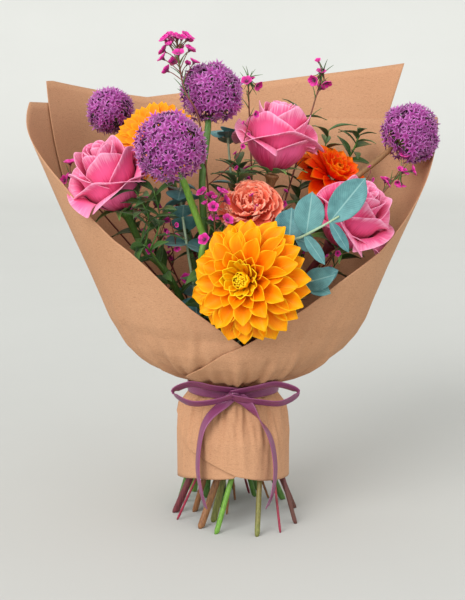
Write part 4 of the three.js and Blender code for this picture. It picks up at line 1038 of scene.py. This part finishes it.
def round_off(piece, swell):
    """Turns a faceted rod into a round one that keeps its width and the sharp rim of its cuts."""
    choose(piece)
    bpy.ops.object.mode_set(mode="EDIT")
    bpy.ops.mesh.select_all(action="SELECT")
    bpy.ops.mesh.tris_convert_to_quads(face_threshold=math.radians(50), shape_threshold=math.radians(60))
    bpy.ops.object.mode_set(mode="OBJECT")
    skin = bmesh.new()
    skin.from_mesh(piece.data)
    crease = skin.edges.layers.float.get("crease_edge") or skin.edges.layers.float.new("crease_edge")
    for edge in skin.edges:
        lowest = min(v.co.z for v in edge.verts)
        if lowest < CUT_BELOW and any(abs(face.normal.z) > LEVEL_ENOUGH for face in edge.link_faces):
            edge[crease] = CUT_CREASE
    skin.to_mesh(piece.data)
    skin.free()
    apply_modifier(piece, "SUBSURF", levels=2, render_levels=2)
    apply_modifier(piece, "DISPLACE", strength=swell, mid_level=0.0)
    for vertex in piece.data.vertices:
        vertex.co.z = max(vertex.co.z, 0.0)


def stem_material(name, light, dark, blush):
    """A stem's skin: lengthwise streaks, with a darker blush in patches."""
    material, shader = nodes_of(name, roughness=0.5, specular=0.45)
    spot = object_place(material)
    streak = speckle(material, stretched(material, spot, (900, 900, 60)), 1.0, 3)
    tone = colour_ramp(material, streak, [(0.3, dark), (0.7, light)])
    patch = colour_ramp(material, speckle(material, spot, 22, 2), [(0.45, BLACK), (0.7, WHITE)])
    paint(material, shader, blend_colours(material, sum_of(material, "MULTIPLY", patch, 0.6), tone, blush))
    relief(material, shader, streak, 0.3, 0.0003)
    return material


STEM_SKINS = {
    "bright": stem_material("stem_bright", shade(122, 172, 60), shade(84, 132, 36), shade(140, 180, 84)),
    "green": stem_material("stem_green", shade(96, 140, 62), shade(60, 100, 40), shade(84, 110, 50)),
    "dark": stem_material("stem_dark", shade(60, 92, 48), shade(36, 62, 32), shade(74, 60, 44)),
    "maroon": stem_material("stem_maroon", shade(120, 48, 54), shade(84, 30, 40), shade(92, 70, 46)),
    "olive": stem_material("stem_olive", shade(134, 136, 66), shade(96, 100, 44), shade(124, 92, 52)),
    "crimson": stem_material("stem_crimson", shade(168, 40, 70), shade(122, 26, 50), shade(110, 60, 50)),
    "brown": stem_material("stem_brown", shade(158, 108, 66), shade(116, 74, 44), shade(120, 96, 50)),
    "pale": stem_material("stem_pale", shade(186, 206, 176), shade(140, 172, 140), shade(150, 170, 120)),
}
BLOOM_STEM_SWELL = 0.00055  # given back where the smoothing has made the rod thinner
BLOOM_STEMS = {
    "dahlia_orange_stem": "bright", "rose_left_stem": "green", "rose_top_stem": "brown",
    "rose_right_stem": "maroon", "gerbera_orange_stem": "green", "dahlia_red_stem": "olive",
    "allium_left_stem": "bright", "allium_top_stem": "green", "allium_back_stem": "maroon",
    "allium_right_stem": "brown", "coral_bloom_stem": "green",
}
for node, skin in BLOOM_STEMS.items():
    stem = copy_of_node(node, node + "_skin")
    round_off(stem, BLOOM_STEM_SWELL)
    finish_piece(stem, "green_stem", STEM_SKINS[skin], node)

# ------------------------------------------------------------------ the eucalyptus
# Sprigs of silver-dollar eucalyptus: round blue-green leaves with pale veins stand on whitish
# stems, in pairs that turn a quarter from one to the next or, at the front, one by one.
INSIDE_TIE = 126
PAPER_HIDES = 148  # the height up to which the paper hides the stems
SPRIG_STEM_SWELL = 0.0006
TUBE_MERGE = 0.000002


def middle_at(node, height):
    """The middle of a stem where a level plane cuts it."""
    skin = bmesh.new()
    skin.from_mesh(bpy.data.objects[node].data)
    everything = skin.verts[:] + skin.edges[:] + skin.faces[:]
    cut = bmesh.ops.bisect_plane(skin, geom=everything, plane_co=place(0, 0, height), plane_no=(0, 0, 1))
    corners = [e.co.copy() for e in cut["geom_cut"] if isinstance(e, bmesh.types.BMVert)]
    skin.free()
    return sum(corners, Vector()) / len(corners)


def lower_stem(node, skin, slot="green_stem", swell=SPRIG_STEM_SWELL):
    """The part of a sprig's stem that the paper hides, and its cut end below."""
    piece = copy_of_node(node, node + "_cut_end")
    mesh = bmesh.new()
    mesh.from_mesh(piece.data)
    everything = mesh.verts[:] + mesh.edges[:] + mesh.faces[:]
    bmesh.ops.bisect_plane(
        mesh, geom=everything, plane_co=place(0, 0, PAPER_HIDES), plane_no=(0, 0, 1), clear_outer=True
    )
    rim = [e for e in mesh.edges if e.is_boundary]
    if rim:
        bmesh.ops.holes_fill(mesh, edges=rim, sides=0)
    mesh.to_mesh(piece.data)
    mesh.free()
    round_off(piece, swell)
    finish_piece(piece, slot, STEM_SKINS[skin])


def upper_path(node, vias, tip, heading=None):
    """The points that a sprig's stem passes from inside the tie up to its tip, in metres."""
    inside = middle_at(node, INSIDE_TIE)
    leaving = middle_at(node, PAPER_HIDES)
    points = [inside, leaving, leaving + (leaving - inside).normalized() * 0.014]
    points += [place(*via) for via in vias]
    end = place(*tip)
    if heading:
        points.append(end - Vector(heading).normalized() * min(0.016, (end - points[-1]).length * 0.45))
    points.append(end)
    return points


def on_path(points, share):
    """The place at a share of a path, and the way that the path runs there."""
    ahead, behind = curve_through(points, min(share + 0.01, 1)), curve_through(points, max(share - 0.01, 0))
    return curve_through(points, share), (ahead - behind).normalized()


BACKWARD = Vector((0, 1, 0.2))  # where the seam of a stem's skin lies


def stem_tube(name, points, thick, thin, steps=56, around=8):
    """A round tapering stem along a path, closed at both ends; its radii are in millimetres."""
    def shape(u, v):
        share = min(max((v * (steps + 2) - 1) / steps, 0), 1)
        spot, tangent = on_path(points, share)
        side = (BACKWARD - tangent * tangent.dot(BACKWARD)).normalized()
        up = tangent.cross(side)
        radius = (thick + (thin - thick) * share) / 1000
        if v < 0.5 / (steps + 2) or v > 1 - 0.5 / (steps + 2):
            radius = 0
        angle = 2 * math.pi * u
        return spot + (side * math.cos(angle) + up * math.sin(angle)) * radius

    piece = grid_piece(name, around, steps + 2, shape)
    merge_doubles(piece, TUBE_MERGE, outward=True)
    return piece


def leaf_matrix(root, forward, face, long=1.0, wide=1.0):
    x = forward.normalized()
    z = (face - x * face.dot(x)).normalized()
    turned = Matrix((x, z.cross(x), z)).transposed().to_4x4()
    return Matrix.Translation(root) @ turned @ Matrix.Diagonal((long, wide, (long + wide) / 2, 1))


def lifted(side, tangent, degrees):
    """A way sideways from a stem, raised towards the way that the stem grows."""
    return side * math.cos(math.radians(degrees)) + tangent * math.sin(math.radians(degrees))


def square_to(tangent, turn):
    """A way square to a stem, turned round it by degrees."""
    side = Vector((1, 0, 0)) - tangent * tangent.x
    return Matrix.Rotation(math.radians(turn), 3, tangent) @ side.normalized()


def leaf_material(name, dark, light, vein_colour, back, roughness=0.55, side_veins=16.0, strength=0.5):
    """A leaf's skin: mottled, with a pale midrib and pale side veins that slant to the tip."""
    material, shader = nodes_of(name, roughness=roughness, sheen=0.1)
    _, number_across, up = uv_of(material)

    def off_middle(run):
        """How far the fraction of a number is from a half."""
        fraction = sum_of(material, "FRACT", run, 0.0)
        return sum_of(material, "ABSOLUTE", sum_of(material, "SUBTRACT", fraction, 0.5), 0.0)

    off = off_middle(number_across)
    mottle = speckle(material, object_place(material), 130, 3)
    tone = colour_ramp(material, mottle, [(0.3, dark), (0.7, light)])
    own = own_chance(material, number_across)
    tone = blend_colours(material, sum_of(material, "MULTIPLY", own, 0.4), tone, back)
    rib = colour_ramp(material, off, [(0.012, WHITE), (0.035, BLACK)])
    upward = sum_of(material, "MULTIPLY", up, side_veins)
    slant = sum_of(material, "SUBTRACT", upward, sum_of(material, "MULTIPLY", off, side_veins * 0.8))
    branch = colour_ramp(material, off_middle(slant), [(0.0, (0.6, 0.6, 0.6, 1)), (0.09, BLACK)])
    veins = sum_of(material, "MAXIMUM", rib, branch)
    vein_share = sum_of(material, "MULTIPLY", veins, strength)
    paint(material, shader, blend_colours(material, vein_share, tone, vein_colour))
    relief(material, shader, veins, 0.25, 0.0003)
    return material


eucalyptus_skin = leaf_material(
    "eucalyptus_leaf", shade(52, 104, 110), shade(92, 148, 150), shade(160, 200, 194), shade(104, 158, 154),
)
ROUND_OUTLINE = [(0, 0.1), (0.08, 0.5), (0.28, 0.9), (0.5, 1.0), (0.72, 0.87), (0.9, 0.52), (1.0, 0.06)]
MODEL_LEAF = 20.0  # the length and the width of the leaf that the others are copied from
round_leaf = petal(
    "round_leaf", MODEL_LEAF, MODEL_LEAF / 2, ROUND_OUTLINE, cup=0.16, curl=-12, crease=0.5, grid=(10, 12),
)
FRONTWARD = Vector((0, -1, 0.3))
EUCALYPTUS = [  # leaves by their foot, tip and width, or in pairs by their length, width and tilt
    dict(
        node="eucalyptus_right", skin="green", tip=(84, -98, 292), heading=(0.8, -0.1, 0.5),
        vias=[(22, -62, 250), (56, -92, 275)], radius=1.7,
        leaves=[
            ((78, -96, 286), (107, -92, 325), 27), ((78, -96, 286), (93, -104, 262), 10),
            ((57, -92, 276), (62, -94, 312), 26), ((56, -92, 275), (73, -102, 252), 11),
            ((45, -80, 268), (46, -74, 298), 28), ((50, -86, 270), (68, -78, 264), 16),
        ],
    ),
    dict(
        node="eucalyptus_left", skin="green", tip=(-50, -34, 314), heading=(0, 0.1, 1),
        vias=[(-45, -44, 262)], radius=1.7,
        first=0.5, pairs=6, length=22, width=30, turn=90, tilt=22, hang=-8,
    ),
    dict(
        node="eucalyptus_low", skin="brown", tip=(70, -82, 236), heading=(0.8, -0.4, 0.3),
        vias=[(42, -58, 214)], radius=1.4,
        leaves=[
            ((58, -76, 228), (80, -94, 242), 20), ((66, -80, 233), (86, -80, 244), 14),
            ((60, -76, 228), (78, -90, 226), 14),
        ],
    ),
    dict(
        node="eucalyptus_back", skin="maroon", tip=(-8, 42, 352), heading=(0, 0.2, 1), vias=[], radius=1.6,
        first=0.6, pairs=5, length=22, width=24, turn=90, tilt=25, hang=0,
    ),
]
for number, sprig in enumerate(EUCALYPTUS):
    node = sprig["node"]
    points = upper_path(node, sprig["vias"], sprig["tip"], sprig["heading"])
    tube = stem_tube(node + "_tube", points, sprig["radius"], 0.9)
    lower_stem(node, sprig["skin"])
    finish_piece(tube, "green_stem", STEM_SKINS["pale"])
    leaves = []
    for i, (start, end, width) in enumerate(sprig.get("leaves", [])):
        start, end = place(*start), place(*end)
        closest = min((curve_through(points, k / 120) for k in range(121)), key=lambda p: (p - start).length)
        reach = end - closest
        long, wide = reach.length * 1000 / MODEL_LEAF, width / MODEL_LEAF
        leaves.append(petal_copy(round_leaf, leaf_matrix(closest, reach, FRONTWARD, long, wide), i))
    for pair in range(sprig.get("pairs", 0)):
        share = sprig["first"] + (0.98 - sprig["first"]) * pair / (sprig["pairs"] - 1)
        grown = 1 - 0.32 * pair / sprig["pairs"]
        spot, tangent = on_path(points, share)
        for half, tilt in ((0, sprig["tilt"]), (180, sprig["hang"])):
            wobble = 14 * (spread(pair * 3 + half + number) - 0.5)
            forward = square_to(tangent, sprig["turn"] + 90 * pair + half + wobble)
            forward = lifted(forward, tangent, tilt + wobble)
            long, wide = sprig["length"] * grown / MODEL_LEAF, sprig["width"] * grown / MODEL_LEAF
            matrix = leaf_matrix(spot, forward, tangent, long, wide)
            leaves.append(petal_copy(round_leaf, matrix, pair * 2 + (half > 0)))
    foliage = join_as(node + "_leaves", leaves)
    thicken(foliage)
    finish_piece(foliage, "eucalyptus_leaf", eucalyptus_skin, node)
remove_model(round_leaf)

# ------------------------------------------------------------------ the waxflower
# Thin red-brown twigs of waxflower stand between the blooms, with little five-petalled magenta
# flowers on fine stalks and dark green needles.
WAX_RADIUS = 6.2  # of an open flower
WAX_OUTLINE = [(0, 0.35), (0.4, 0.75), (0.7, 1.0), (0.9, 0.8), (1.0, 0.35)]
magenta, magenta_shader = nodes_of("waxflower_magenta", roughness=0.5, sheen=0.2)
paint(magenta, magenta_shader, colour_ramp(magenta, uv_of(magenta)[2], [
    (0.0, shade(84, 0, 60)), (0.22, shade(180, 8, 120)),
    (0.7, shade(222, 24, 152)), (1.0, shade(240, 84, 184)),
]))
twig_brown = stem_material("twig_brown", shade(140, 66, 60), shade(98, 46, 42), shade(110, 96, 52))
needle_green = stem_material("needle_green", shade(78, 120, 58), shade(46, 84, 40), shade(98, 136, 66))


def wax_flower():
    """Five round cupped petals about a dark cup, 1 unit in radius, opening along +Z."""
    model = petal("wax_petal", 1000 * 0.82, 1000 * 0.44, WAX_OUTLINE, cup=0.35, curl=16, grid=(4, 4))
    parts = []
    for i in range(5):
        matrix = Matrix.Rotation(2 * math.pi * i / 5, 4, "Z") @ Matrix.Translation((0.18, 0, 0.02))
        matrix = matrix @ Matrix.Rotation(-0.22, 4, "Y")
        parts.append(petal_copy(model, matrix, 0))
    remove_model(model)
    flower = join_as("wax_flower", parts)
    apply_modifier(flower, "SOLIDIFY", thickness=0.05, offset=0)
    deselect()
    bpy.ops.mesh.primitive_cone_add(vertices=8, radius1=0.06, radius2=0.3, depth=0.5, location=(0, 0, -0.16))
    cup = bpy.context.object
    layer = cup.data.uv_layers.active
    layer.name = "UVMap"
    for loop in layer.data:
        loop.uv = (0.5, 0.02)
    flower = join_as("wax_flower", [flower, cup])
    bpy.ops.object.transform_apply(location=True, rotation=True, scale=True)
    return flower


ROOM_INSIDE = 0.74  # share of the cone's width and depth that the shoots keep to


def inside_paper(spot):
    """The spot, drawn in towards the axis where it would come too near the paper cone."""
    axis = place(along(CONE_SHIFT, 200), 0, 0)
    height = (spot.z - axis.z) * 1000
    width, depth = along(CONE_WIDTH, height) / 1000, along(CONE_DEPTH, height) / 1000
    share = math.hypot((spot.x - axis.x) / width, (spot.y - axis.y) / depth)
    draw_in = min(1, ROOM_INSIDE / share) if share > 0 else 1
    return Vector((axis.x + (spot.x - axis.x) * draw_in, axis.y + (spot.y - axis.y) * draw_in, spot.z))


def side_shoot(points, share, turn, length):
    """The points of a shoot that leaves its stem sideways and turns upwards."""
    spot, tangent = on_path(points, share)
    side = square_to(tangent, turn)
    if side.z < 0:
        side = -side
    middle = spot + (side * 0.42 + tangent * 0.3) * length / 1000
    return [spot, inside_paper(middle), inside_paper(middle + (side * 0.22 + tangent * 0.5) * length / 1000)]


GOLDEN_TURN = 137.5  # degrees, the turn from one leaf or flower to the next up a stem
WAXFLOWER = [  # node, tip, heading, points passed, first flower, flowers, reach, needles, side shoots
    (
        "waxflower_top", (-52, -30, 434), (-0.05, 0.4, 0.9), [(-30, -46, 350), (-45, -50, 393)],
        0.7, 22, 20, 14, 1,
    ),
    ("waxflower_left", (-80, -34, 286), (-0.4, -0.1, 0.9), [], 0.55, 14, 20, 14, 4),
    ("waxflower_mid", (-20, -72, 300), (0, -0.1, 1), [], 0.66, 12, 17, 14, 4),
    ("waxflower_back", (12, 34, 398), (0.1, 0.1, 1), [], 0.66, 4, 12, 30, 3),
    ("waxflower_right_top", (76, 34, 404), (0.2, 0.05, 1), [], 0.62, 7, 14, 34, 3),
    ("waxflower_right", (146, -8, 318), (0.7, 0, 0.7), [], 0.66, 10, 15, 20, 4),
    ("waxflower_far_left", (-148, -14, 314), (-0.7, 0, 0.7), [], 0.78, 5, 13, 6, 3),
]
WAX_SHOOTS = [(0.46, 20, 70), (0.54, 150, 78), (0.6, -80, 66), (0.68, 60, 56)]  # share, turn, length
SHOOT_BUDS = 6
BUD_RADIUS = 0.55  # share of WAX_RADIUS
BUD_STRETCH = 1.7
WAX_STEM_SWELL = 0.0005
NEEDLE_TURN = 101  # degrees, from one needle to the next
WAX_CEILING = place(0, 0, 439).z  # the flowers' middles stay below it
flower_model = wax_flower()
for number, (node, tip, heading, vias, first, flowers, reach, needles, shoots) in enumerate(WAXFLOWER):
    points = upper_path(node, vias, tip, heading)
    lower_stem(node, "crimson" if number % 2 else "brown", "waxflower", WAX_STEM_SWELL)
    twigs = [stem_tube(node + "_tube", points, 1.2, 0.6, around=6)]
    heads = []
    for i in range(flowers):
        share = first + (0.99 - first) * i / (flowers - 1)
        spot, tangent = on_path(points, share)
        away = reach * (1 - 0.35 * i / flowers) / 1000
        side = square_to(tangent, GOLDEN_TURN * i + 40 * number)
        centre = spot + side * away * 0.68 + tangent * away * 0.8
        if i == flowers - 1:
            centre = spot + tangent * 0.004
        centre.z = min(centre.z, WAX_CEILING)
        outward = (centre - spot).normalized()
        stalk = [spot, spot + (centre - spot) * 0.5 + tangent * 0.001, centre]
        twigs.append(stem_tube(node + "_stalk", stalk, 0.45, 0.4, steps=5, around=5))
        bud = i % 4 == 3
        size = (BUD_RADIUS if bud else 0.85 + 0.2 * spread(i + number)) * WAX_RADIUS / 1000
        face = (outward + Vector((0, -0.35, 0.1))).normalized()
        long = size * (BUD_STRETCH if bud else 1)
        matrix = Matrix.Translation(centre) @ turned_to(face) @ Matrix.Diagonal((size, size, long, 1))
        heads.append(petal_copy(flower_model, matrix @ Matrix.Rotation(i, 4, "Z"), 0))
    for kind, (share, turn, reach) in enumerate(WAX_SHOOTS[:shoots]):
        shoot = side_shoot(points, share, turn + 70 * number, reach)
        twigs.append(stem_tube(node + "_shoot", shoot, 0.6, 0.4, steps=10, around=5))
        for i in range(SHOOT_BUDS):
            spot, tangent = on_path(shoot, 0.35 + 0.64 * i / (SHOOT_BUDS - 1))
            side = square_to(tangent, GOLDEN_TURN * i + 50 * kind)
            bud_place = spot + side * 0.004 + tangent * 0.003
            face = (side + Vector((0, -0.5, 0.3))).normalized()
            size = (0.34 + 0.3 * spread(i * 5 + kind + number)) * WAX_RADIUS / 1000
            matrix = Matrix.Translation(bud_place) @ turned_to(face) @ Matrix.Scale(size, 4)
            heads.append(petal_copy(flower_model, matrix, 0))
            stalk = [spot, spot.lerp(bud_place, 0.5), bud_place]
            twigs.append(stem_tube(node + "_stalk", stalk, 0.35, 0.3, steps=3, around=4))
    leaflets = []
    for i in range(needles):
        share = first - 0.08 + (1.05 - first) * i / needles
        spot, tangent = on_path(points, share)
        side = square_to(tangent, NEEDLE_TURN * i + 20)
        end = spot + side * 0.008 + tangent * (0.009 + 0.004 * spread(i))
        needle = [spot, spot.lerp(end, 0.5) + tangent * 0.0008, end]
        leaflets.append(stem_tube(node + "_needle", needle, 0.62, 0.15, steps=4, around=5))
    finish_piece(join_as(node + "_twig", twigs), "waxflower", twig_brown)
    finish_piece(join_as(node + "_needles", leaflets), "dark_leaf", needle_green)
    finish_piece(join_as(node + "_flowers", heads), "waxflower", magenta, node)
remove_model(flower_model)

# ------------------------------------------------------------------ the dark foliage
# Leafy filler between the blooms: slim dark green leaves stand one after another round each stem
# and round the side shoots that leave it low down.
foliage_skin = leaf_material(
    "foliage_leaf", shade(36, 66, 32), shade(66, 104, 46), shade(128, 158, 92), shade(84, 124, 52),
    roughness=0.42, side_veins=11.0, strength=0.35,
)
SLIM_OUTLINE = [(0, 0.12), (0.12, 0.5), (0.35, 0.95), (0.5, 1.0), (0.72, 0.72), (0.9, 0.3), (1.0, 0.03)]
SLIM_LENGTH = 34
slim_leaf = petal("slim_leaf", SLIM_LENGTH, 6, SLIM_OUTLINE, cup=0.3, curl=-22, crease=0.6, grid=(8, 12))
FOLIAGE = [  # node, tip, heading, points passed, first leaf, leaf length, stem's skin, side shoots
    ("foliage_left", (-84, -58, 262), (-0.6, -0.3, 0.6), [], 0.42, 32, "green", 7),
    ("foliage_mid", (-14, -46, 282), (0, -0.2, 1), [], 0.36, 36, "dark", 7),
    ("foliage_right", (114, 60, 352), (0.2, 0, 0.9), [(84, 72, 285)], 0.5, 34, "bright", 4),
    ("foliage_back", (30, 70, 330), (0.1, 0.4, 0.9), [], 0.45, 38, "olive", 6),
]
FOLIAGE_LEAVES = 22
FOLIAGE_STEM_SWELL = 0.0012
SIDE_SHOOTS = [  # share of the stem, turn, length
    (0.4, -70, 76), (0.46, 60, 82), (0.52, 160, 76), (0.6, -20, 70), (0.66, 110, 66), (0.78, 30, 54),
    (0.84, 200, 50),
]
SHOOT_LEAVES = 10
for number, (node, tip, heading, vias, first, length, skin, shoots) in enumerate(FOLIAGE):
    points = upper_path(node, vias, tip, heading)
    lower_stem(node, skin, swell=FOLIAGE_STEM_SWELL)
    stalks = [stem_tube(node + "_tube", points, 1.6, 0.8)]
    leaves = []
    for i in range(FOLIAGE_LEAVES):
        share = first + (0.99 - first) * i / (FOLIAGE_LEAVES - 1)
        spot, tangent = on_path(points, share)
        side = square_to(tangent, GOLDEN_TURN * i + 30 * number)
        forward = lifted(side, tangent, 32 + 12 * spread(i + number))
        size = length / SLIM_LENGTH * (1 - 0.02 * i) * (0.85 + 0.2 * spread(i * 3 + number))
        leaves.append(petal_copy(slim_leaf, leaf_matrix(spot, forward, tangent, size, size), i))
    for kind, (share, turn, reach) in enumerate(SIDE_SHOOTS[:shoots]):
        shoot = side_shoot(points, share, turn + 40 * number, reach)
        stalks.append(stem_tube(node + "_shoot", shoot, 0.9, 0.5, steps=12, around=6))
        for i in range(SHOOT_LEAVES):
            spot, tangent = on_path(shoot, 0.25 + 0.74 * i / (SHOOT_LEAVES - 1))
            side = square_to(tangent, GOLDEN_TURN * i + 70 * kind)
            forward = lifted(side, tangent, 34 + 14 * spread(i + kind))
            size = 0.72 + 0.2 * spread(i * 3 + kind)
            matrix = leaf_matrix(spot, forward, tangent, size, size)
            leaves.append(petal_copy(slim_leaf, matrix, 30 + 12 * kind + i))
    finish_piece(join_as(node + "_stem", stalks), "green_stem", STEM_SKINS["green"])
    greens = join_as(node + "_leaves", leaves)
    thicken(greens)
    finish_piece(greens, "dark_leaf", foliage_skin, node)
remove_model(slim_leaf)
